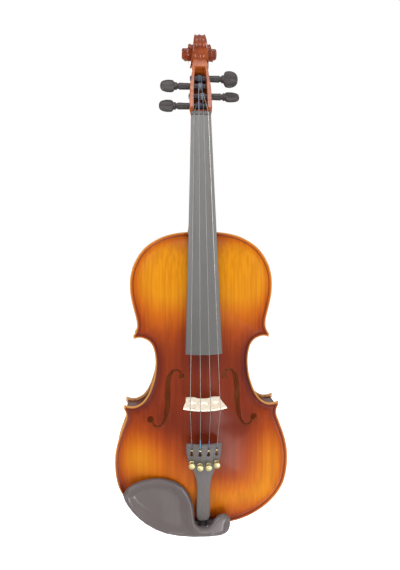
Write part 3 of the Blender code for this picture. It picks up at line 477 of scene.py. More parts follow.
def slab(loop, front, back):
    # An outline in the x-z plane thickened in depth
    shape = bmesh.new()
    face = shape.faces.new([shape.verts.new(place(x, front, z)) for x, z in loop])
    pulled = bmesh.ops.extrude_face_region(shape, geom=[face])
    moved = [item for item in pulled["geom"] if isinstance(item, bmesh.types.BMVert)]
    bmesh.ops.translate(shape, verts=moved, vec=(0, (back - front) * mm, 0))
    return closeUp(shape)


def rounded(shape, width, segments=2, angle=30.0):
    # Bevels the shape's sharp edges
    sharp = [e for e in shape.edges if len(e.link_faces) == 2 and e.calc_face_angle() > math.radians(angle)]
    bmesh.ops.bevel(shape, geom=sharp, offset=width * mm, offset_type="OFFSET", affect="EDGES",
                    segments=segments,
                    profile=0.5, material=-1, clamp_overlap=True)
    bmesh.ops.recalc_face_normals(shape, faces=shape.faces[:])
    return shape


def fromNode(node):
    # The plain node's own shape, merged and with its flat faces joined, as a start for a finer one
    shape = bmesh.new()
    shape.from_mesh(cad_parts[node].data)
    bmesh.ops.remove_doubles(shape, verts=shape.verts[:], dist=0.002 * mm)
    bmesh.ops.dissolve_limit(shape, angle_limit=math.radians(1.0), verts=shape.verts[:], edges=shape.edges[:])
    return shape


def cutAway(piece, *cutters):
    # Applies the cuts, so that what is left is a plain mesh
    tools = []
    for i, cutter in enumerate(cutters):
        mesh = bpy.data.meshes.new(f"cut{i}")
        cutter.to_mesh(mesh)
        cutter.free()
        tool = bpy.data.objects.new(f"cut{i}", mesh)
        bpy.context.scene.collection.objects.link(tool)
        step = piece.modifiers.new(f"cut{i}", "BOOLEAN")
        step.operation = "DIFFERENCE"
        step.solver = "EXACT"
        step.object = tool
        tools.append(tool)
    bpy.context.view_layer.update()
    seen = piece.evaluated_get(bpy.context.evaluated_depsgraph_get())
    done = bpy.data.meshes.new_from_object(seen)
    old = piece.data
    piece.modifiers.clear()
    piece.data = done
    bpy.data.meshes.remove(old)
    for tool in tools:
        bpy.data.objects.remove(tool)


# Outlines

bodyShape = {
    "upper": (
        (0, 355.0), (16, 354.9), (30, 353.5), (44, 350.0), (56, 344.2), (66, 337.0), (74, 327.4),
        (80.2, 315.5),
        (83.4, 304), (84.3, 294), (83.8, 282.5), (82.0, 272), (79.6, 262), (77.4, 253), (76.6, 246.2),
        (77.3, 240.6),
        (79.1, 236.4), (81.2, 233.2)),
    "waist": (
        (80.4, 229.4), (75.4, 230.7), (69.8, 230.0), (63.4, 226.8), (58.9, 221.2), (56.3, 213), (55.3, 204),
        (55.4, 196), (56.9, 184), (60.5, 171.8), (65.2, 161.2), (71.6, 153.2), (79.6, 149.0), (86.6, 149.0),
        (92.7, 150.9)),
    "lower": (
        (93.0, 146.0), (91.2, 142.4), (90.4, 138.4), (91.1, 133.4), (93.3, 127.4), (96.1, 120), (99.4, 111),
        (102.1, 101.5), (103.9, 91.5), (104.5, 81), (104.1, 70), (102.7, 60), (99.9, 50), (95.4, 41),
        (88.8, 32),
        (80.6, 23.8), (70.8, 16.6), (58.9, 10.0), (45, 4.9), (30, 1.9), (15, 0.5), (0, 0)),
    "button": ((0, 366.2), (5.5, 365.0), (9.4, 361.4), (10.8, 356.4)),
    "widths": ((-6, 62), (40, 99), (80, 102), (125, 85), (150, 68), (200, 56), (228, 62), (260, 78),
               (300, 82),
               (340, 68), (372, 50)),
    "bellyArch": 11.6, "backArch": 10.6, "bellyWall": 3.2, "backWall": 3.6, "edge": 4.0, "backEdge": 38.8,
    "ribs": (4.2, 34.6), "overhang": 2.8, "ribWall": 1.3,
}
upperRun = curveThrough(bodyShape["upper"], 5)
waistRun = curveThrough(bodyShape["waist"], 5)
lowerRun = curveThrough(bodyShape["lower"], 5)


def mirrored(half):
    return [(-x, z) for x, z in reversed(half[1:-1])] + list(half)


outline = mirrored(upperRun + waistRun + lowerRun)


def distanceTo(points, loop, closed=True):
    spots = np.asarray(points, float)[:, :2]
    ends = np.array(loop, float)[:, :2]
    pairs = zip(ends, np.roll(ends, -1, 0)) if closed else zip(ends[:-1], ends[1:])
    best = np.full(len(spots), 1e9)
    for start, end in pairs:
        way = end - start
        t = np.clip(((spots - start) @ way) / max(way @ way, 1e-9), 0, 1)
        best = np.minimum(best, np.hypot(*(spots - start - t[:, None] * way).T))
    return best


def within(points, loop):
    spots = np.asarray(points, float)
    found = np.zeros(len(spots), bool)
    for (ax, az), (bx, bz) in zip(loop, list(loop[1:]) + [loop[0]]):
        if az == bz:
            continue
        crosses = ((az > spots[:, 1]) != (bz > spots[:, 1])) & (
            spots[:, 0] < (bx - ax) * (spots[:, 1] - az) / (bz - az) + ax)
        found ^= crosses
    return found


def archOf(points):
    # How far the arch has risen, 0 to 1, and the distance from the body's outline
    spots = np.asarray(points, float)
    d = distanceTo(spots, outline)
    d[~within(spots, outline)] = 0.0
    heights, widths = (np.array(c, float) for c in zip(*bodyShape["widths"]))
    i = np.clip(np.searchsorted(heights, spots[:, 1]), 1, len(heights) - 1)
    share = easeAll((spots[:, 1] - heights[i - 1]) / (heights[i] - heights[i - 1]))
    local = widths[i - 1] + (widths[i] - widths[i - 1]) * share
    t = np.clip((d - 5.0) / (0.9 * local - 5.0), 0, 1)
    rise = 0.5 - 0.5 * np.cos(np.pi * t ** 0.72)
    return rise * (1.0 - 0.08 * ((spots[:, 1] - 190.0) / 165.0) ** 2), d


def channelOf(d):
    return 0.9 * easeAll((d - 2.0) / 3.0) * (1.0 - easeAll((d - 6.5) / 8.0))


def beadOf(d, radius):
    # How far an edge rounded to this radius has fallen back
    near = np.clip(radius - d, 0, radius)
    return radius - np.sqrt(np.maximum(radius ** 2 - near ** 2, 0))


def bellyFront(points):
    rise, d = archOf(points)
    return channelOf(d) - bodyShape["bellyArch"] * rise


def bellyAt(x, z):
    return float(bellyFront([(x, z)])[0])


def offsetRun(run, distance, clearance):
    # A run of the half outline moved inwards, cut back where another run comes nearer
    spots = np.array(run, float)
    ahead = np.roll(spots, -1, 0)
    behind = np.roll(spots, 1, 0)
    ahead[-1] = spots[-1]
    behind[0] = spots[0]
    way = ahead - behind
    way /= np.hypot(*way.T)[:, None]
    moved = spots + np.stack([way[:, 1], -way[:, 0]], 1) * distance
    others = [distanceTo(moved, other, False) for other in (upperRun, waistRun, lowerRun) if other is not run]
    good = within(moved, outline) & (distanceTo(moved, run, False) > distance - 0.02)
    for far in others:
        good &= far > distance + clearance
    return [tuple(p) for p in moved[good]]


def spaced(points, step):
    kept = [points[0]]
    for point in points[1:-1]:
        if math.dist(point, kept[-1]) >= step and math.dist(point, points[-1]) >= 0.6 * step:
            kept.append(point)
    return kept + [points[-1]]


# Carved plates: a fine flat net inside the outline, thickened, then each side raised to its own skin

def netOf(loop, holes, margins, step, pitch):
    spots = np.array(loop, float)
    fringe = []
    for ring, sign in [(spots, 1)] + [(np.array(hole, float), -1) for hole in holes]:
        way = np.roll(ring, -1, 0) - np.roll(ring, 1, 0)
        way /= np.maximum(np.hypot(*way.T), 1e-6)[:, None]
        side = np.stack([way[:, 1], -way[:, 0]], 1)
        for margin in margins if sign > 0 else margins[:4]:
            for turn in (1, -1):
                moved = ring + side * margin * turn
                good = within(moved, loop) & (distanceTo(moved, ring) > margin * 0.97)
                for hole in holes:
                    good &= ~within(moved, hole)
                kept = []
                for point in moved[good]:
                    if all(math.dist(point, other) > 0.55 * step for other in kept[-3:]):
                        kept.append(tuple(point))
                fringe += kept
    reach = margins[-1] + 0.7 * pitch
    low, high = spots.min(0), spots.max(0)
    inner = []
    for row in range(int((high[1] - low[1]) / (0.87 * pitch)) + 1):
        z = low[1] + 0.5 + row * 0.87 * pitch
        offset = 0.5 * pitch * (row % 2)
        inner += [(x, z) for x in np.arange(-math.ceil(-low[0] / pitch) * pitch + offset, high[0], pitch)]
    inner = np.array(inner)
    good = within(inner, loop) & (distanceTo(inner, loop) > reach)
    for hole in holes:
        good &= ~within(inner, hole) & (distanceTo(inner, hole) > margins[3] + 0.6 * pitch)
    border = []
    links = []
    for ring in [loop] + list(holes):
        start = len(border)
        border += list(ring)
        links += [(start + i, start + (i + 1) % len(ring)) for i in range(len(ring))]
    everything = border + fringe + [tuple(p) for p in inner[good]]
    found, _, faces, _, _, _ = delaunay_2d_cdt([Vector(p) for p in everything], links, [], 1, 1e-4)
    middles = np.array([np.mean([found[i][:] for i in face], axis=0) for face in faces])
    good = within(middles, loop)
    for hole in holes:
        good &= ~within(middles, hole)
    return found, [face for face, ok in zip(faces, good) if ok]


def carved(net, front, back, marks=None):
    # front and back give the place of a net point on either side; marks are named surface values
    found, faces = net
    shape = bmesh.new()
    verts = [shape.verts.new((p.x, 0.0, p.y)) for p in found]
    for face in faces:
        shape.faces.new([verts[i] for i in face])
    loose = [v for v in shape.verts if not v.link_faces]
    bmesh.ops.delete(shape, geom=loose, context="VERTS")
    bmesh.ops.solidify(shape, geom=shape.faces[:], thickness=0.5)
    low = min(v.co.y for v in shape.verts)
    split = 0.5 * (low + max(v.co.y for v in shape.verts))
    flat = np.array([(v.co.x, v.co.z) for v in shape.verts])
    isFront = np.array([v.co.y < split for v in shape.verts])
    layers = {name: shape.verts.layers.float.new(name) for name in (marks or {})}
    values = {name: rule(flat) for name, rule in (marks or {}).items()}
    fronts, backs = front(flat), back(flat)
    for i, vertex in enumerate(shape.verts):
        vertex.co = place(*(fronts if isFront[i] else backs)[i])
        for name, layer in layers.items():
            vertex[layer] = values[name][i]
    shape.verts.ensure_lookup_table()
    for face in shape.faces:
        sides = {bool(isFront[v.index]) for v in face.verts}
        face.material_index = 2 if len(sides) == 2 else (0 if True in sides else 1)
    bmesh.ops.recalc_face_normals(shape, faces=shape.faces[:])
    return shape


soundHole = {
    "line": ((24.4, 187.6, 1.4), (26.2, 191.0, 1.1), (29.2, 193.2, 1.0), (33.0, 192.8, 1.3),
             (37.0, 189.0, 1.9),
             (40.0, 181.5, 2.6), (41.0, 170.0, 2.9), (41.3, 157.0, 2.9), (42.2, 145.0, 2.6),
             (44.3, 135.6, 1.9),
             (48.0, 128.4, 1.3), (52.8, 125.8, 1.0), (57.2, 127.4, 1.1), (60.2, 131.0, 1.4)),
    "upperEye": (24.6, 186.2, 3.3), "lowerEye": (61.6, 133.8, 4.1),
    "notch": 163.0, "notchDepth": 1.3,
}


def soundHoleLoop(side):
    steps = 8
    run = curveThrough(soundHole["line"], steps)
    left, right = [], []
    for i, (x, z, half) in enumerate(run):
        ax, az, _ = run[max(0, i - 1)]
        bx, bz, _ = run[min(len(run) - 1, i + 1)]
        size = math.hypot(bx - ax, bz - az)
        nx, nz = -(bz - az) / size, (bx - ax) / size
        wide = half + soundHole["notchDepth"] * max(0.0, 1.0 - abs(z - soundHole["notch"]) / 1.6)
        left.append((x + nx * wide, z + nz * wide))
        right.append((x - nx * wide, z - nz * wide))

    def eye(centre, start, end):
        cx, cz, radius = centre
        a = math.atan2(start[1] - cz, start[0] - cx)
        b = math.atan2(end[1] - cz, end[0] - cx)
        while b < a:
            b += math.tau
        return [(cx + radius * math.cos(mix(a, b, k / 15)), cz + radius * math.sin(mix(a, b, k / 15)))
                for k in range(16)]

    left, right = left[steps:-steps], right[steps:-steps]
    loop = eye(soundHole["upperEye"], left[0], right[0]) + right[1:-1]
    loop += eye(soundHole["lowerEye"], right[-1], left[-1]) + list(reversed(left[1:-1]))
    return [(side * x, z) for x, z in loop]


holes = [soundHoleLoop(-1), soundHoleLoop(1)]

# Colour over the belly's varnish: gold and red blooms of its shading, where the red blooms at (0, 214) and
# (0, 128) are painted shade and painted reflection of the fingerboard's end and of the bridge and tailpiece
burstAndShadeLook = {
    "base": 0.25,
    "blooms": (  # x, z, half width, half height, amount of gold, or of red where it is below 0
        (-46, 304, 54, 62, 0.82), (50, 304, 54, 62, 0.86), (0, 214, 24, 30, -0.24), (0, 128, 20, 26, -0.16),
        (62, 205, 20, 30, -0.14), (-78, 88, 36, 38, 0.62), (84, 82, 30, 44, 0.6), (58, 34, 52, 28, 0.5),
        (-30, 56, 40, 42, 0.30), (6, 36, 34, 30, 0.30), (-42, 128, 22, 20, -0.14), (46, 126, 22, 20, -0.12),
    ),
    "rim": 0.16, "rimWidth": 5.0,
}


def burstAndShadeOf(points):
    spots = np.asarray(points, float)
    total = np.full(len(spots), burstAndShadeLook["base"])
    for x, z, wide, tall, amount in burstAndShadeLook["blooms"]:
        total += amount * np.exp(-((spots[:, 0] - x) / wide) ** 2 - ((spots[:, 1] - z) / tall) ** 2)
    d = distanceTo(spots, outline)
    return np.clip(total, 0, 1) - burstAndShadeLook["rim"] * np.exp(-((d - 4.0) / burstAndShadeLook["rimWidth"]) ** 2)


def edgeMark(points):
    # 10 mm from the outline reads as 1
    return np.clip(distanceTo(points, outline) / 10.0, 0, 1)


plateNet = {"margins": (0.35, 0.8, 1.5, 2.3, 3.1, 3.7, 4.3, 5.0, 6.4, 8.4, 11.0), "step": 2.0, "pitch": 3.2,
            "bead": 1.35}

notchTop = 349.1
bellyHalf = [(0, notchTop), (8, notchTop), (16.3, notchTop), (16.3, 354.85)]
bellyHalf += [p for p in upperRun if p[0] > 18] + waistRun + [p for p in lowerRun if p[0] > 19]
bellyHalf += [(17.4, 0.6), (17.4, 6.9), (8, 6.9), (0, 6.9)]
bellyLoop = mirrored(bellyHalf)


def bellyOuter(points):
    spots = np.asarray(points, float)
    holeGap = np.minimum(distanceTo(spots, holes[0]), distanceTo(spots, holes[1]))
    y = bellyFront(spots) + beadOf(distanceTo(spots, bellyLoop), plateNet["bead"]) + beadOf(holeGap, 0.4)
    return np.stack([spots[:, 0], y, spots[:, 1]], 1)


def bellyInner(points):
    spots = np.asarray(points, float)
    rise, d = archOf(spots)
    y = np.where(d < 8.0, bodyShape["edge"], np.minimum(
        bodyShape["edge"], channelOf(d) - bodyShape["bellyArch"] * rise + bodyShape["bellyWall"]))
    return np.stack([spots[:, 0], y - beadOf(distanceTo(spots, bellyLoop), 1.1), spots[:, 1]], 1)


net = netOf(bellyLoop, holes, plateNet["margins"], plateNet["step"], plateNet["pitch"])
belly = keep("belly", carved(net, bellyOuter, bellyInner, {"fromEdge": edgeMark, "shading": burstAndShadeOf}),
             "violin",
             "belly", "raw", "cut", standsFor=("front_plate",), slot="varnished_spruce", crease=50)
# The outer edge is varnished like the belly, and only the sound holes are stained
for face in belly.data.polygons:
    if face.material_index == 2:
        spot = face.center / mm + Vector(hanger)
        if min(distanceTo([(spot.x, spot.z)], hole)[0] for hole in holes) > 1.0:
            face.material_index = 0
print("belly carved:", len(belly.data.polygons), "faces")

backHalf = curveThrough(bodyShape["button"], 4) + [p for p in upperRun if p[0] > 12.6] + waistRun + lowerRun
backLoop = mirrored(backHalf)
backNet = dict(plateNet, pitch=3.6)


def backOuter(points):
    spots = np.asarray(points, float)
    rise, d = archOf(spots)
    y = bodyShape["backEdge"] - channelOf(d) + bodyShape["backArch"] * rise
    return np.stack([spots[:, 0], y - beadOf(distanceTo(spots, backLoop), backNet["bead"]), spots[:, 1]], 1)


def backInner(points):
    spots = np.asarray(points, float)
    rise, d = archOf(spots)
    flat = bodyShape["backEdge"] - bodyShape["edge"]
    y = np.where(d < 8.0, flat, np.maximum(
        flat, bodyShape["backEdge"] - channelOf(d) + bodyShape["backArch"] * rise - bodyShape["backWall"]))
    return np.stack([spots[:, 0], y + beadOf(distanceTo(spots, backLoop), 1.1), spots[:, 1]], 1)


def backShading(points):
    # Gold in the middle of the back, darker towards the edge, as on the belly
    spots = np.asarray(points, float)
    d = distanceTo(spots, outline)
    waist = np.exp(-((spots[:, 1] - 190.0) / 48.0) ** 2)
    return np.clip(0.34 + 0.5 * easeAll((d - 4.0) / 34.0) - 0.16 * waist, 0, 1)


net = netOf(backLoop, [], backNet["margins"], backNet["step"], backNet["pitch"])
back = keep("back", carved(net, backInner, backOuter, {"fromEdge": edgeMark, "shading": backShading}),
            "violin",
            "raw", "back", "back", standsFor=("back_plate",), slot="varnished_maple", crease=50)
print("back carved:", len(back.data.polygons), "faces")

# Ribs, each bent to its own bout

for label, run in (("upper", upperRun), ("centre", waistRun), ("lower", lowerRun)):
    outside = offsetRun(run, bodyShape["overhang"], 0.2)
    inside = offsetRun(run, bodyShape["overhang"] + bodyShape["ribWall"], 0.2)
    if label == "upper":
        outside = [(16.6, outside[0][1])] + [p for p in outside if p[0] > 18.5]
        inside = [(16.6, inside[0][1])] + [p for p in inside if p[0] > 18.5]
    if label == "lower":
        outside = [p for p in outside if p[0] > 2] + [(0.2, bodyShape["overhang"])]
        inside = [p for p in inside if p[0] > 2] + [(0.2, bodyShape["overhang"] + bodyShape["ribWall"])]
    for sideName, side in (("left", -1), ("right", 1)):
        loop = [(side * x, z) for x, z in outside + list(reversed(inside))]
        keep(f"rib_{label}_{sideName}_bent",
             slab(loop, bodyShape["ribs"][0] - 0.15, bodyShape["ribs"][1] + 0.15),
             "violin", "ribs", standsFor=(f"rib_{label}_{sideName}",), slot="varnished_maple", crease=30)
for node in ("bass_bar", "sound_post", "upper_block", "lower_block", "corner_block_lower_left",
             "corner_block_lower_right", "corner_block_upper_left", "corner_block_upper_right"):
    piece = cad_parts[node]
    piece.data.materials.clear()
    piece.data.materials.append(finishes["raw"])
print("ribs bent")

# Neck, pegbox and scroll

neckShape = {
    "boardEnd": 215.5, "nut": 490.0, "halfNut": 11.6, "halfEnd": 20.9, "crownNut": 0.4, "crownEnd": -32.0,
    "radius": 44.0,
    # height, half width, back, squareness
    "stations": (
        (349.5, 15.9, 34.5, 7.0), (354.8, 15.9, 34.5, 7.0), (357.5, 15.6, 34.4, 4.6),
        (361.0, 15.3, 33.4, 3.4),
        (364.0, 15.2, 28.8, 2.9), (367.0, 15.1, 22.0, 2.5), (371.0, 15.0, 15.4, 2.3),
        (376.0, 14.9, 11.4, 2.2),
        (384.0, 14.8, 9.6, 2.1), (405.0, 14.2, 10.8, 2.1), (440.0, 13.1, 14.2, 2.1), (470.0, 12.2, 17.0, 2.1),
        (484.0, 11.8, 18.6, 2.2), (490.0, 11.8, 20.4, 2.6), (494.8, 12.9, 23.8, 4.0),
        (499.0, 13.3, 26.4, 6.0),
        (515.0, 13.1, 29.0, 8.0), (530.0, 11.8, 31.4, 8.0), (541.0, 10.1, 33.0, 7.0), (547.0, 9.5, 34.4, 6.0),
        (551.0, 9.6, 36.0, 5.0), (556.0, 8.8, 39.6, 4.0), (560.0, 7.4, 42.0, 4.0)),
    "cavityHalf": ((497.6, 8.0), (518.0, 7.9), (534.0, 7.2), (544.0, 6.3), (549.0, 5.6)),
    "cavityFloor": ((497.4, 6.2), (498.4, 14.0), (499.6, 18.6), (502.0, 21.6), (520.0, 24.6), (536.0, 27.0),
                    (542.0, 25.4), (547.0, 19.0), (549.4, 13.9)),
}


def alongBoard(low, high, z):
    return mix(low, high, (z - neckShape["boardEnd"]) / (neckShape["nut"] - neckShape["boardEnd"]))


def boardCrown(z):
    return alongBoard(neckShape["crownEnd"], neckShape["crownNut"], z)


def boardHalf(z):
    return alongBoard(neckShape["halfEnd"], neckShape["halfNut"], z)


def boardUnder(z):
    return alongBoard(-22.6, 6.9, z)


def neckFront(z):
    if z <= 495.0:
        return boardUnder(z) + 0.1
    if z <= 499.0:
        return mix(boardUnder(495.0) + 0.1, 6.2, ease((z - 495.0) / 4.0))
    return mix(6.2, 13.6, (z - 499.0) / 49.0) if z < 549 else mix(13.75, 18.0, (z - 549.0) / 11.0)


def neckRing(z, half, back, square):
    front = neckFront(z)
    ring = []
    for k in range(41):
        a = math.pi * k / 40
        c, s = math.cos(a), math.sin(a)
        ring.append((half * math.copysign(abs(c) ** (2 / square), c), mix(front, back, s ** (2 / square))))
    deep = 0.0
    if 497.4 < z < 549.4:
        deep = max(0.0, between(neckShape["cavityFloor"], z) - front)
    wide = between(neckShape["cavityHalf"], z) if deep else 0.62 * half
    soft = 0.7 if z > 496 else 0.25  # the broken corner of the cheeks
    ring[0] = (half - 0.02, front + soft)
    ring[-1] = (-half + 0.02, front + soft)
    across = [(-half + soft, front), (-wide - 0.5, front), (-wide - 0.1, front + min(0.4, deep)),
              (-wide + 0.1, front + 0.35 * deep), (-wide + 0.3, front + 0.75 * deep),
              (-wide + 1.0, front + 0.95 * deep),
              (-0.55 * wide, front + deep), (0.0, front + deep)]
    ring += across + [(-x, y) for x, y in reversed(across[:-1])]
    return [place(x, y, z) for x, y in ring]


rings = []
for z, half, back, square in curveThrough(neckShape["stations"], 5):
    if rings and z <= lastZ:
        continue
    rings.append(neckRing(z, half, back, square))
    lastZ = z
keep("neckAndPegbox", loft(rings), "violin", "neck", standsFor=("neck",), slot="varnished_maple", crease=40)

scrollShape = {
    "centre": (31.0, 570.0),
    "end": 735,
    # turn in degrees from the back over the top, radius
    "radius": ((-75, 15.5), (-60, 18.5), (-45, 20.8), (-30, 22.1), (0, 22.6), (45, 22.6), (90, 22.6),
               (135, 21.8),
               (180, 20.2), (225, 18.6), (270, 17.0), (315, 15.6), (360, 14.2), (450, 12.0), (540, 10.2),
               (630, 8.6),
               (735, 7.0), (1200, 3.0)),
    "half": ((-75, 8.6), (-60, 8.3), (-30, 7.6), (0, 6.8), (45, 5.9), (90, 5.5), (135, 6.9), (180, 8.8),
             (225, 10.4), (270, 11.6), (360, 12.0), (450, 12.6), (540, 14.5), (630, 17.2), (720, 19.4),
             (735, 19.6)),
    "flute": 1.25,
    "eye": ((12.0, 6.6), (19.4, 6.4), (20.2, 6.0), (20.9, 5.0), (21.2, 3.4), (21.2, 0.0)),
}


def scrollRing(turn):
    radius = between(scrollShape["radius"], turn)
    half = between(scrollShape["half"], turn)
    inner = between(scrollShape["radius"], turn + 360) - 1.2 if turn + 360 <= scrollShape["end"] else 2.0
    inner = min(inner, radius - 4.0)
    deep = scrollShape["flute"] * (1.0 - 0.5 * ease((turn - 360) / 300))
    cove = 0.9
    right = [(0.0, radius - 0.12), (0.12, radius - 0.3 * deep), (0.3, radius - 0.82 * deep),
             (0.5, radius - deep),
             (0.7, radius - 0.8 * deep), (0.88, radius - 0.25 * deep), (0.95, radius - 0.05),
             (1.0, radius - 0.5)]
    section = [(half * a, r) for a, r in right]
    section += [(half - 0.1, radius - 1.1), (half - 0.6 * cove, mix(radius, inner, 0.4)),
                (half - cove, mix(radius, inner, 0.7)), (half - cove, inner)]
    section = [(-x, r) for x, r in reversed(section[1:])] + section
    a = math.radians(turn)
    cy, cz = scrollShape["centre"]
    return [place(x, cy + r * math.cos(a), cz + r * math.sin(a)) for x, r in section]


coil = loft([scrollRing(turn) for turn in range(-60, scrollShape["end"] + 1, 5)])
eyes = [turned((0, *scrollShape["centre"]), (side, 0, 0), scrollShape["eye"], 40) for side in (-1, 1)]
keep("scroll", joined(coil, *eyes), "violin", "scroll", standsFor=("neck",), slot="varnished_maple",
     crease=38)
print("neck and scroll carved")

# Fingerboard and nut


def boardRing(z):
    half = boardHalf(z)
    step = z - neckShape["boardEnd"]
    fall = 0.9 - math.sqrt(max(0.81 - (0.9 - min(step, 0.9)) ** 2, 0.0))
    crown = boardCrown(z) + fall
    ring = []
    for k in range(33):
        x = mix(half, -half, k / 32)
        soft = beadOf(np.array([half - abs(x)]), 0.7)[0]
        ring.append(place(x, crown + neckShape["radius"] - math.sqrt(neckShape["radius"] ** 2 - x * x) + soft,
                          z))
    under = boardUnder(z)
    hollow = 1.6 * ease((345.0 - z) / 20.0)
    for k in range(13):
        t = -1 + k / 6
        ring.append(place(half * 0.975 * t, under - 0.3 - hollow * (1 - t * t) - fall * 0.5, z))
    return ring


end = neckShape["boardEnd"]
heights = [end, end + 0.1, end + 0.3, end + 0.6, end + 0.95, end + 2] + list(np.linspace(225, 489.8, 36))
keep("fingerboardSurface", loft([boardRing(z) for z in heights]), "violin", "board",
     standsFor=("fingerboard",),
     slot="ebonised_wood", crease=32)

strings = (
    # name, x at nut, bridge, tail and peg, radius
    ("g", -8.2, -16.8, -14.5, -4.4, 0.46),
    ("d", -2.8, -5.6, -4.9, -1.6, 0.43),
    ("a", 2.8, 5.6, 4.9, 1.6, 0.40),
    ("e", 8.2, 16.8, 14.5, 4.2, 0.36),
)


def nutSection(x):
    groove = 0.75 * sum(math.exp(-((x - s[1]) / 0.6) ** 2) for s in strings)
    soft = beadOf(np.array([neckShape["halfNut"] - abs(x)]), 0.8)[0]
    top = (boardCrown(491.0) - 1.3 + neckShape["radius"] - math.sqrt(neckShape["radius"] ** 2 - x * x)
           + groove + soft)
    low = boardUnder(492.0) + 0.2
    return [place(x, low, 490.1), place(x, top + 0.9, 490.1), place(x, top + 0.25, 490.5),
            place(x, top, 491.2),
            place(x, top + 0.1, 492.4), place(x, top + 0.7, 493.6), place(x, top + 1.8, 494.4),
            place(x, top + 3.0, 494.6), place(x, low, 494.6)]


keep("nutBlock", loft([nutSection(x) for x in np.linspace(-11.6, 11.6, 94)]), "violin", "fitting",
     standsFor=("nut",), slot="ebonised_wood", crease=40)

# Saddle and end button

saddle = rounded(slab([(-17.1, 0.4), (17.1, 0.4), (17.1, 6.6), (-17.1, 6.6)], -3.4, 3.9), 1.3, 4)
keep("saddleRounded", saddle, "violin", "fitting", standsFor=("saddle",), slot="ebonised_wood")
buttonProfile = [(0, 0), (0, 3.5), (17.9, 4.0), (18.9, 4.0), (19.2, 5.6), (20.2, 5.95), (21.2, 6.0),
                 (22.0, 5.4),
                 (22.6, 4.3), (23.4, 3.95), (24.2, 4.1), (25.0, 5.4), (26.0, 6.6), (27.4, 7.2), (28.8, 7.3),
                 (30.4, 6.9), (31.6, 6.0), (32.3, 4.8), (32.7, 3.0), (32.8, 0)]
keep("endButtonTurned", turned((0, 19.4, 21.0), (0, 0, -1), buttonProfile, 40), "violin", "peg",
     standsFor=("end_button",), slot="peg_wood", crease=45)
print("board, nut, saddle and button made")

# Tailpiece

tailShape = {
    "outline": ((10.6, 3.4), (11.2, 5.0), (12.4, 6.4), (16.0, 7.8), (24.0, 8.2), (36.0, 7.9), (50.0, 7.7),
                (62.0, 8.3), (70.0, 9.9), (77.0, 12.4), (83.0, 15.6), (90.0, 18.4), (98.0, 20.0),
                (106.0, 20.7),
                (109.6, 20.7), (111.2, 20.3), (112.0, 19.0)),
    "top": (-30.0, 112.0), "foot": (-9.0, 10.6), "edge": 1.0, "fretAt": 109.2,
}


def tailCrown(z):
    (highY, highZ), (lowY, lowZ) = tailShape["top"], tailShape["foot"]
    return mix(lowY, highY, (z - lowZ) / (highZ - lowZ))


def tailDrop(x):
    return 0.011 * x * x


def tailRing(z, half):
    thick = 3.0 + 1.6 * (1.0 - ease((z - 40.0) / 40.0))
    ends = min(z - tailShape["foot"][1], tailShape["top"][1] - z)
    fall = beadOf(np.array([ends]), 1.4)[0]
    fret = 0.9 * math.exp(-((z - tailShape["fretAt"]) / 0.9) ** 2)
    ring = []
    for k in range(29):
        x = mix(half, -half, 0.5 - 0.5 * math.cos(math.pi * k / 28))
        soft = beadOf(np.array([half - abs(x)]), tailShape["edge"])[0]
        bar = fret * ease((half - abs(x)) / 1.5)
        ring.append(place(x, tailCrown(z) + tailDrop(x) + soft + fall - bar, z))
    for k in range(17):
        x = mix(-half, half, k / 16) * 0.975
        ring.append(place(x, tailCrown(z) + thick + tailDrop(x) - 0.4 * fall, z))
    return ring


stations = curveThrough(tailShape["outline"], 4)
stations = [s for i, s in enumerate(stations) if i == 0 or s[0] > stations[i - 1][0] + 0.02]
tailpiece = keep("tailpieceCarved", loft([tailRing(z, half) for z, half in stations]), "violin", "fitting",
                 standsFor=("tailpiece",), slot="ebonised_wood", crease=32)
slope = Vector((0.0, tailShape["top"][0] - tailShape["foot"][0],
                tailShape["top"][1] - tailShape["foot"][1])).normalized()
outward = Vector((0.0, -slope.z, slope.y))
tunerAt = {"g": 88.2, "d": 86.2, "a": 86.2, "e": 88.2}
cutters = []
for name, _, _, x, _, _ in strings:
    hole = [(x + 2.1 * math.cos(math.tau * k / 20),
             98.6 + 2.1 * math.sin(math.tau * k / 20)) for k in range(20)]
    hole = [(px, pz) for px, pz in hole if pz < 99.6]
    rightSide = [p for p in hole if p[0] >= x]
    leftSide = [p for p in hole if p[0] < x]
    rightSide.sort(key=lambda p: p[1])
    leftSide.sort(key=lambda p: -p[1])
    loop = rightSide + [(x + 1.05, 100.6), (x + 1.05, 107.4), (x - 1.05, 107.4), (x - 1.05, 100.6)] + leftSide
    cutters.append(slab(loop, -45, -5))
    seat = (x, tailCrown(tunerAt[name]) + tailDrop(x), tunerAt[name])
    cutters.append(turned(seat, outward, [(-9, 0), (-9, 2.5), (9, 2.5), (9, 0)], 24))
cutAway(tailpiece, *cutters)

# Fine tuners: bush, threaded stem, knurled knob and lever; stem, knob and lever each on its own body

tunerShape = {
    "bush": ((-3.4, 1.55), (-3.4, 2.35), (0.5, 2.35), (0.62, 2.9), (1.0, 3.0), (1.5, 2.7), (1.7, 2.2),
             (1.7, 1.55),
             (-3.4, 1.55)),
    "knobTeeth": 28,
}


def knobRings(centre):
    side = Vector((1, 0, 0))
    profile = ((4.3, 0.0), (4.3, 2.2), (4.5, 3.3), (4.8, 3.75), (5.1, 3.95), (7.0, 3.95), (7.4, 3.8),
               (7.8, 3.35),
               (8.0, 2.6), (8.0, 1.6), (8.1, 0.9), (8.2, 0.0))
    rings = []
    for s, r in profile:
        ring = []
        for k in range(112):
            a = math.tau * k / 112
            tooth = 0.14 * math.cos(tunerShape["knobTeeth"] * a) if r > 3.7 else 0.0
            flat = (r - 0.14 + tooth if r > 3.7 else r) * 0.97
            ring.append(centre + outward * s * mm + (side * math.cos(a) + slope * math.sin(a)) * flat * mm)
        rings.append(ring)
    return rings


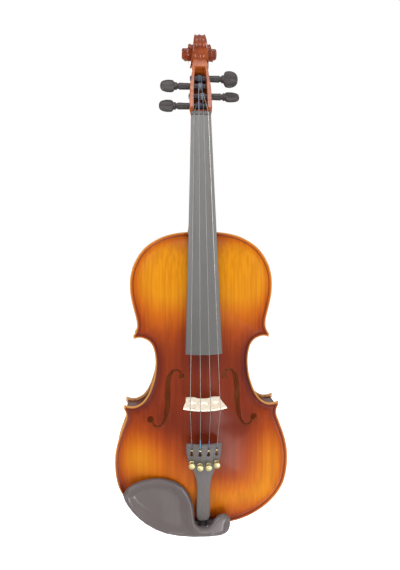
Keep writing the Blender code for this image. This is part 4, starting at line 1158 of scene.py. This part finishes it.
for name, _, _, x, _, _ in strings:
    seat = (x, tailCrown(tunerAt[name]) + tailDrop(x), tunerAt[name])
    keep(f"tunerBush_{name}", turned(seat, outward, tunerShape["bush"], 32), "violin", "brass",
         standsFor=(f"tuner_bush_{name}",), slot="gilt_brass")
    thread = [(-5.5, 0.0), (-5.5, 0.8), (-5.1, 1.15)]
    for k in range(22):
        thread += [(-5.0 + 0.4 * k, 1.2), (-4.8 + 0.4 * k, 1.02)]
    thread += [(4.2, 1.15), (4.2, 0.0)]
    keep(f"tunerScrew_{name}", turned(seat, outward, thread, 20), f"tuner_screw_{name}", "brass",
         standsFor=(f"tuner_stem_{name}",), slot="gilt_brass")
    keep(f"tunerKnob_{name}", loft(knobRings(place(*seat))), f"tuner_knob_{name}", "brass",
         standsFor=(f"tuner_knob_{name}",), slot="gilt_brass", crease=50)
    lever = rounded(fromNode(f"tuner_lever_{name}"), 0.3, 2)
    keep(f"tunerLever_{name}", lever, f"tuner_lever_{name}", "brass", standsFor=(f"tuner_lever_{name}",),
         slot="gilt_brass")

# Tail gut

gut = [(3.2, -5.9, 10.2), (3.3, -5.5, 7.4), (3.5, -4.9, 4.4), (3.7, -4.7, 1.6), (3.9, -4.2, -0.2),
       (4.1, -2.0, -1.6),
       (4.6, 4.0, -1.9), (5.2, 12.0, -2.1), (5.4, 18.0, -2.2), (4.6, 22.4, -2.2), (2.4, 24.6, -2.2),
       (0.0, 25.0, -2.2)]
gut += [(-x, y, z) for x, y, z in reversed(gut[:-1])]
keep("tailgutCord", tube(curveThrough(gut, 4), 0.9, 14), "violin", "nylon", standsFor=("tailgut",),
     slot="nylon_cord",
     crease=60)
print("tailpiece and tuners made")

# Bridge

bridgeShape = {
    "crown": -44.0, "radius": 46.0, "feetAt": 160.0, "topAt": 156.2,
    # half, from the foot's inner end up and over to the crown: x and height above the belly
    "side": ((9.6, 0.0), (14.0, 0.0), (19.8, 0.0), (20.2, 1.4), (20.0, 3.0), (19.9, 5.0), (20.1, 7.4),
             (20.6, 10.0),
             (21.3, 13.0), (22.2, 16.4), (23.2, 20.4), (24.1, 24.2), (24.5, 27.0)),
    "arch": ((0.0, 3.9), (2.6, 3.8), (5.0, 3.4), (7.0, 2.6), (8.6, 1.4)),
    "bead": 0.35,
}
bridgeFoot = bellyAt(0, bridgeShape["feetAt"]) - 0.05
bridgeTall = bridgeFoot - bridgeShape["crown"]


def crownDrop(x):
    return bridgeShape["radius"] - math.sqrt(bridgeShape["radius"] ** 2 - x * x)


crownRun = []
for k in range(49):
    x = 24.2 * (1 - k / 48)
    notch = 0.6 * sum(math.exp(-((x - abs(s[2])) / 0.55) ** 2) for s in strings if s[2] > 0)
    crownRun.append((x, bridgeTall - crownDrop(x) + 0.55 - notch))
sideRun = curveThrough(bridgeShape["side"][2:], 3)
bridgeHalf = list(bridgeShape["side"][:2]) + sideRun + [p for p in crownRun if p[0] < 23.8]
bridgeLoop = bridgeHalf + [(-x, h) for x, h in reversed(bridgeHalf[:-1])]
bridgeArch = curveThrough(bridgeShape["arch"], 2)
bridgeLoop += [(-x, h) for x, h in reversed(bridgeArch)] + bridgeArch[1:]


def oval(cx, ch, rx, rh, count=24):
    return [(cx + rx * math.cos(math.tau * k / count),
             ch + rh * math.sin(math.tau * k / count)) for k in range(count)]


heart = curveThrough([(0, 12.4), (1.6, 13.8), (3.2, 15.6), (4.1, 17.6), (3.4, 19.6), (1.8, 19.9),
                      (0.5, 18.9)], 3)
heart = heart + [(-x, h) for x, h in reversed(heart[1:])]
bridgeHoles = [heart, oval(13.4, 14.2, 3.6, 2.9), oval(-13.4, 14.2, 3.6, 2.9)]


def bridgeSide(face):
    def skin(points):
        spots = np.asarray(points, float)
        x, h = spots.T
        t = np.clip(h / bridgeTall, 0, 1)
        edge = distanceTo(spots, bridgeLoop)
        for hole in bridgeHoles:
            edge = np.minimum(edge, distanceTo(spots, hole))
        half = 2.1 + (0.75 - 2.1) * t ** 0.8 - beadOf(edge, bridgeShape["bead"])
        lean = bridgeShape["feetAt"] + (bridgeShape["topAt"] - bridgeShape["feetAt"]) * t
        gap = bellyFront(np.stack([x, np.full_like(x, bridgeShape["feetAt"])], 1)) - bridgeFoot
        low = np.where(h < 6.0, (gap - 0.05) * (1.0 - easeAll(h / 6.0)), 0.0)
        return np.stack([x, bridgeFoot - h + low, lean + face * half], 1)
    return skin


net = netOf(bridgeLoop, bridgeHoles, (0.15, 0.35, 0.9, 1.6), 0.8, 1.7)
keep("bridgeCut", carved(net, bridgeSide(-1), bridgeSide(1)), "violin", "bridge", "bridge", "bridge",
     standsFor=("bridge",), slot="bridge_maple", crease=45)
print("bridge cut")

# Pegs and the string wound on each

pegShape = {"thin": 3.2, "taper": 0.019}
pegs = (
    # name, side, y, z, shaft's end, head start, head turn in degrees
    ("g", -1, 14.8, 503.4, -13.9, 31.8, -33.0),
    ("d", -1, 18.6, 527.6, -12.9, 30.2, -30.0),
    ("a", 1, 20.4, 537.4, -11.7, 28.6, 0.0),
    ("e", 1, 16.6, 515.4, -13.7, 29.8, -42.0),
)
pegAt = {name: (side, y, z) for name, side, y, z, _, _, _ in pegs}


def pegRadius(x):
    return pegShape["thin"] + pegShape["taper"] * (x + 15.0)


def pegOval(x, y, z, tall, thick, turn, power):
    ring = []
    for k in range(36):
        a = math.tau * k / 36
        c, s = math.cos(a), math.sin(a)
        up = tall * math.copysign(abs(s) ** (2 / power), s)
        out = thick * math.copysign(abs(c) ** (2 / power), c)
        if tall > 1.6 * thick:
            out *= 1.0 - 0.26 * (1.0 - abs(s)) ** 2  # thumb hollows on the flat sides
        ring.append(place(x, y + out * math.cos(turn) - up * math.sin(turn),
                          z + out * math.sin(turn) + up * math.cos(turn)))
    return ring


for name, side, y, z, tip, head, turn in pegs:
    stations = [(tip, 0.4, 0.4, 2.0), (tip, 2.4, 2.4, 2.0), (tip + 0.4, 3.0, 3.0, 2.0),
                (tip + 1.0, 3.2, 3.2, 2.0)]
    stations += [(x, pegRadius(x), pegRadius(x), 2.0) for x in (-8.0, 0.0, 8.0, 16.0, 22.0, head - 6.4)]
    rest = curveThrough((
        (head - 6.0, 4.1, 4.1, 2.0), (head - 5.4, 3.9, 3.9, 2.0), (head - 5.0, 3.3, 3.3, 2.0),
        (head - 3.6, 3.2, 3.2, 2.0), (head - 3.0, 3.7, 3.7, 2.0), (head - 2.3, 4.5, 4.5, 2.0),
        (head - 1.4, 4.6, 4.5, 2.0), (head - 0.6, 4.4, 4.0, 2.0), (head + 0.1, 5.6, 4.0, 2.1),
        (head + 1.2, 8.0, 3.7, 2.2), (head + 3.0, 9.3, 3.3, 2.3), (head + 6.0, 9.8, 3.0, 2.3),
        (head + 9.0, 9.6, 2.9, 2.3), (head + 12.0, 8.7, 2.9, 2.2), (head + 14.4, 7.2, 2.8, 2.2),
        (head + 15.8, 5.4, 2.4, 2.1), (head + 16.6, 3.6, 1.8, 2.0), (head + 17.0, 1.2, 0.7, 2.0)), 3)
    rings = [pegOval(side * x, y, z, tall, thick, math.radians(turn), power) for x, tall, thick, power in
             stations + rest]
    keep(f"peg_{name}_turned", loft(rings), f"peg_{name}", "peg", standsFor=(f"peg_{name}",), slot="peg_wood",
         crease=45)
print("pegs turned")

# Strings

windLook = {"g": ("#3b4160", "#1c2036"), "d": ("#8f95a8", "#3a4056"), "a": ("#4a5878", "#20283e"),
            "e": ("#9a9690", "#5b5855")}
tailSilk = {"g": ("#39425e", "#222a40"), "d": ("#2f7f9c", "#1c5a74"), "a": ("#3c4a72", "#26305a"),
            "e": ("#5a5f66", "#3a3f46")}
for name in windLook:
    finishes[f"pegSilk_{name}"] = silkWrap(f"pegSilk_{name}", *windLook[name])
    finishes[f"tailSilk_{name}"] = silkWrap(f"tailSilk_{name}", *tailSilk[name])

for name, nutX, bridgeX, tailX, pegX, radius in strings:
    nutTop = boardCrown(491.6) - 0.8 + neckShape["radius"] - math.sqrt(neckShape["radius"] ** 2 - nutX ** 2)
    overNut = nutTop - radius - 0.2
    overBridge = bridgeShape["crown"] + crownDrop(bridgeX) - radius - 0.35
    side, pegY, pegZ = pegAt[name]
    tailY = tailCrown(106.0) + tailDrop(tailX) - 0.5
    reach = pegRadius(side * pegX) + radius + 0.05

    def run(t, low=(tailX, tailY - 0.9, 108.4), high=(bridgeX, overBridge, 156.2)):
        return tuple(mix(a, b, t) for a, b in zip(low, high))

    lower = [(tailX, tailY + 3.4, 104.6), (tailX, tailY + 1.6, 105.6), (tailX, tailY + 0.2, 106.9),
             (tailX, tailY - 0.6, 107.6), run(0.0), run(0.06), run(0.25), run(0.5), run(0.9), run(0.97)]
    upper = [(bridgeX, overBridge, 156.2)] + [
        (mix(bridgeX, nutX, t), mix(overBridge, overNut, t), mix(156.2, 491.6, t))
        for t in (0.008, 0.03, 0.2, 0.4, 0.6, 0.8, 0.97)]
    rest = [(nutX, overNut, 491.6), (mix(nutX, pegX, 0.10), overNut + 0.4, 493.6),
            (mix(nutX, pegX, 0.3), mix(overNut, pegY - reach, 0.32), mix(493.6, pegZ, 0.3)),
            (mix(nutX, pegX, 0.75), mix(overNut, pegY - reach, 0.82), mix(493.6, pegZ, 0.75)),
            (pegX, pegY - reach, pegZ)]
    route = lower + upper + rest
    look = "plainString" if name == "e" else "wound"
    keep(f"string_{name}_drawn", tube(route, radius * 0.78, 12), "violin", look,
         standsFor=(f"string_{name}",),
         slot="wound_string", crease=60)
    silk = [run(t) for t in (0.0, 0.05, 0.1, 0.16, 0.22)]
    keep(f"tailSilk_{name}",
         tube([(tailX, tailY + 0.2, 106.9), (tailX, tailY - 0.6, 107.6)] + silk, radius * 1.25, 12),
         "violin", f"tailSilk_{name}", slot="wound_string", crease=60)
    keep(f"pegSilkRun_{name}", tube(rest[1:], radius * 0.95, 10), "violin", f"pegSilk_{name}",
         slot="wound_string",
         crease=60)
    coil = []
    turns, pitch = 4.6, 2.0 * radius + 0.12
    for k in range(int(turns * 24) + 1):
        a = math.tau * k / 24
        x = pegX - side * pitch * a / math.tau
        out = pegRadius(side * x) + radius * 0.9
        coil.append((x, pegY - out * math.cos(a), pegZ + out * math.sin(a)))
    keep(f"winding_{name}", tube(coil, radius * 0.9, 8), f"peg_{name}", f"pegSilk_{name}",
         slot="wound_string", crease=60)
    ball = turned((tailX, tailY + 3.4, 104.2), (1, 0, 0), [(-1.3, 0.6), (-1.3, 1.5), (-0.9, 1.9), (0.9, 1.9),
                                                           (1.3, 1.5), (1.3, 0.6), (-1.3, 0.6)], 20)
    keep(f"ballEnd_{name}", ball, "violin", "dark", slot="nickel_steel")
print("strings drawn")

# Chinrest, its cork, and the clamp

chinShape = {
    "outline": (
        (-94.5, 47.0), (-88.6, 55.8), (-79.3, 61.4), (-67.7, 64.9), (-56.1, 66.0), (-45.7, 65.2),
        (-34.0, 61.6),
        (-24.0, 54.6), (-17.7, 46.4), (-13.7, 37.0), (-11.5, 27.0), (-10.9, 18.0), (-9.0, 11.0), (-4.0, 7.6),
        (3.0, 7.2), (8.4, 9.4), (13.0, 15.4), (19.0, 20.0), (25.6, 20.6), (30.8, 16.6), (32.6, 9.0),
        (31.6, 0.0),
        (27.6, -5.6), (20.0, -8.4), (6.0, -9.2), (-12.0, -8.6), (-30.0, -6.2), (-45.0, -2.4), (-58.0, 3.6),
        (-70.0, 11.4), (-80.0, 20.6), (-88.0, 31.0), (-93.4, 41.0)),
    "skirt": -10.0,
}
closed = list(chinShape["outline"])
closed = curveThrough(closed[-2:] + closed + closed[:2], 4)[8:-8]
chinLoop = spaced(closed, 1.2)[:-1]


def chinTop(points):
    # A dish, high along its outer rim, whose lower side slopes back to a thin edge
    spots = np.asarray(points, float)
    x, z = spots.T
    d = distanceTo(spots, chinShape["outline"])
    cup = easeAll((d - 1.5) / 15.0) * easeAll((-4.0 - x) / 18.0)
    lean = -14.4 + (-20.0 + 14.4) * easeAll((45.0 - z) / 52.0)
    face = lean + 5.5 * cup + 2.0 * (1.0 - easeAll(d / 2.6))
    width = 4.0 + 4.6 * easeAll((x + 93.0) / 120.0)
    down = np.clip(distanceTo(spots, chinShape["outline"][20:], False) / width, 0, 1)
    return mix(chinShape["skirt"], np.minimum(face, chinShape["skirt"]), down), d


def chinFront(points):
    spots = np.asarray(points, float)
    y, _ = chinTop(spots)
    y = y + 0.9 * beadOf(distanceTo(spots, chinLoop), 2.2)
    return np.stack([spots[:, 0], y, spots[:, 1]], 1)


def chinBack(points):
    spots = np.asarray(points, float)
    x, z = spots.T
    top, d = chinTop(spots)
    clear = (z < 1.6) | ((np.abs(x) < 13) & (z < 15))
    floor = np.minimum(np.minimum(bellyFront(spots), 0.0) - 3.6, np.where(clear, -7.2, 0.0))
    y = np.minimum(floor, top + 2.0 + 18.0 * easeAll(d / 9.0)) - 0.3 * beadOf(distanceTo(spots, chinLoop),
                                                                              0.9)
    return np.stack([x, y, z], 1)


net = netOf(chinLoop, [], (0.2, 0.5, 1.0, 1.7, 2.6, 3.8, 5.4), 1.2, 2.4)
keep("chinrestCarved", carved(net, chinFront, chinBack), "violin", "chin", "chin", "chin",
     standsFor=("chinrest",),
     slot="ebonised_wood", crease=50)
for node, width in (("chinrest_cork_left", 0.5), ("chinrest_cork_right", 0.5), ("foot_cork", 0.3)):
    keep(f"{node}_pad", rounded(fromNode(node), width, 2), "violin", "cork", standsFor=(node,), slot="cork")

for sideName, side in (("left", -1), ("right", 1)):
    stud = [(0.0, 0.0), (0.0, 1.6)]
    for k in range(30):
        stud += [(5.0 + 0.55 * k, 1.6), (5.27 + 0.55 * k, 1.32)]
    stud += [(22.0, 1.5), (22.6, 1.0), (22.6, 0.0)]
    keep(f"clampStud_{sideName}", turned((side * 21.0, -6.8, -4.3), (0, 1, 0), stud, 24), "violin", "steel",
         standsFor=(f"clamp_stud_{sideName}",), slot="nickel_steel")
    barrel = [(0.0, 1.72), (0.0, 2.3), (0.25, 2.6), (0.9, 2.9), (1.4, 3.0), (3.0, 3.0), (3.2, 2.75),
              (3.6, 2.75),
              (3.8, 3.0), (26.6, 3.0), (26.8, 2.75), (27.2, 2.75), (27.4, 3.0), (29.0, 3.0), (29.5, 2.9),
              (30.15, 2.6),
              (30.4, 2.3), (30.4, 1.72), (0.0, 1.72)]
    sleeve = keep(f"clampBarrel_{sideName}", turned((side * 21.0, 3.6, -4.3), (0, 1, 0), barrel, 40),
                  f"clamp_barrel_{sideName}", "steel", standsFor=(f"clamp_barrel_{sideName}",),
                  slot="nickel_steel",
                  crease=28)
    cutAway(sleeve, *(turned((side * 21.0, y, -4.3), (1, 0, 0) if across else (0, 0, 1),
                             [(-5, 0), (-5, 0.75), (5, 0.75), (5, 0)], 16) for y,
                      across in ((13.0, True), (25.0, False))))
foot = rounded(fromNode("clamp_foot"), 0.35, 2, 40.0)
keep("clampFootPlate", foot, "violin", "steel", standsFor=("clamp_foot",), slot="nickel_steel")
print("chinrest and clamp made")

# Stage

studio = {
    "floor": "#ffffff", "floorAt": -0.95, "floorGlow": 0.55, "sky": "#ffffff", "skyLight": 0.6,
    "skyGleam": 0.5,
    "lights": (
        # name, place, aims at, width, height, watts
        ("keySoftbox", (-1.5, -1.3, 0.75), (0.0, 0.0, -0.25), 1.0, 1.2, 25.0),
        ("fillSoftbox", (1.6, -1.0, 0.3), (0.0, 0.0, -0.35), 0.9, 1.2, 12.0),
        ("lowSoftbox", (0.26, -0.76, -0.8), (0.03, 0.0, -0.47), 0.2, 0.3, 2.4),
        ("headSoftbox", (0.05, -0.86, 0.5), (0.0, 0.0, -0.06), 0.4, 0.22, 1.6),
        ("topSoftbox", (0.1, -0.5, 1.3), (0.0, 0.0, -0.1), 1.0, 0.6, 4.0),
        ("backSoftbox", (0.2, 1.4, 0.5), (0.0, 0.0, -0.3), 1.4, 1.2, 12.0),
    ),
}

floorShape = bmesh.new()
bmesh.ops.create_circle(floorShape, cap_ends=True, segments=64, radius=30.0)
bmesh.ops.translate(floorShape, verts=floorShape.verts[:], vec=(0, 0, studio["floorAt"]))
floorMesh = bpy.data.meshes.new("studioFloor")
floorShape.to_mesh(floorMesh)
floorShape.free()
floor = bpy.data.objects.new("studioFloor", floorMesh)
bpy.context.scene.collection.objects.link(floor)
floor.visible_glossy = False
paper, _, _ = newFinish("paperFloor", Base_Color=linear(studio["floor"]), Roughness=0.95,
                        Emission_Color=linear(studio["floor"]), Emission_Strength=studio["floorGlow"])
floorMesh.materials.append(paper)

sky = bpy.data.worlds.new("paleStudio")
sky.use_nodes = True
bpy.context.scene.world = sky
skyTree = sky.node_tree
dim = skyTree.nodes["Background"]
dim.inputs["Color"].default_value = linear(studio["sky"])
dim.inputs["Strength"].default_value = studio["skyLight"]
seen = addNode(skyTree, "ShaderNodeLightPath")
bright = addNode(skyTree, "ShaderNodeBackground", {"Color": linear(studio["sky"]), "Strength": 1.0})
gleam = addNode(skyTree, "ShaderNodeBackground",
                {"Color": linear(studio["sky"]), "Strength": studio["skyGleam"]})
lit = addNode(skyTree, "ShaderNodeMixShader", {0: seen.outputs["Is Glossy Ray"], 1: dim.outputs[0],
                                               2: gleam.outputs[0]})
choice = addNode(skyTree, "ShaderNodeMixShader", {0: seen.outputs["Is Camera Ray"], 1: lit.outputs[0],
                                                  2: bright.outputs[0]})
skyTree.links.new(choice.outputs[0], skyTree.nodes["World Output"].inputs["Surface"])

for name, spot, aim, wide, tall, power in studio["lights"]:
    lamp = bpy.data.lights.new(name, "AREA")
    lamp.shape = "RECTANGLE"
    lamp.size = wide
    lamp.size_y = tall
    lamp.energy = power
    holder = bpy.data.objects.new(name, lamp)
    holder.location = spot
    holder.rotation_euler = (Vector(aim) - Vector(spot)).to_track_quat("-Z", "Y").to_euler()
    bpy.context.scene.collection.objects.link(holder)

view = {"place": (-0.0471, -0.5872, -0.2315), "turn": (86.570, 0.199, -4.573), "lens": 30.33}
lens = bpy.data.cameras.new("portraitCamera")
lens.lens = view["lens"]
lens.sensor_width = 36.0
lens.clip_start = 0.01
portrait = bpy.data.objects.new("portraitCamera", lens)
portrait.location = view["place"]
portrait.rotation_euler = [math.radians(a) for a in view["turn"]]
bpy.context.scene.collection.objects.link(portrait)
bpy.context.scene.camera = portrait
bpy.context.scene.view_settings.view_transform = "Standard"

print("scene ready")
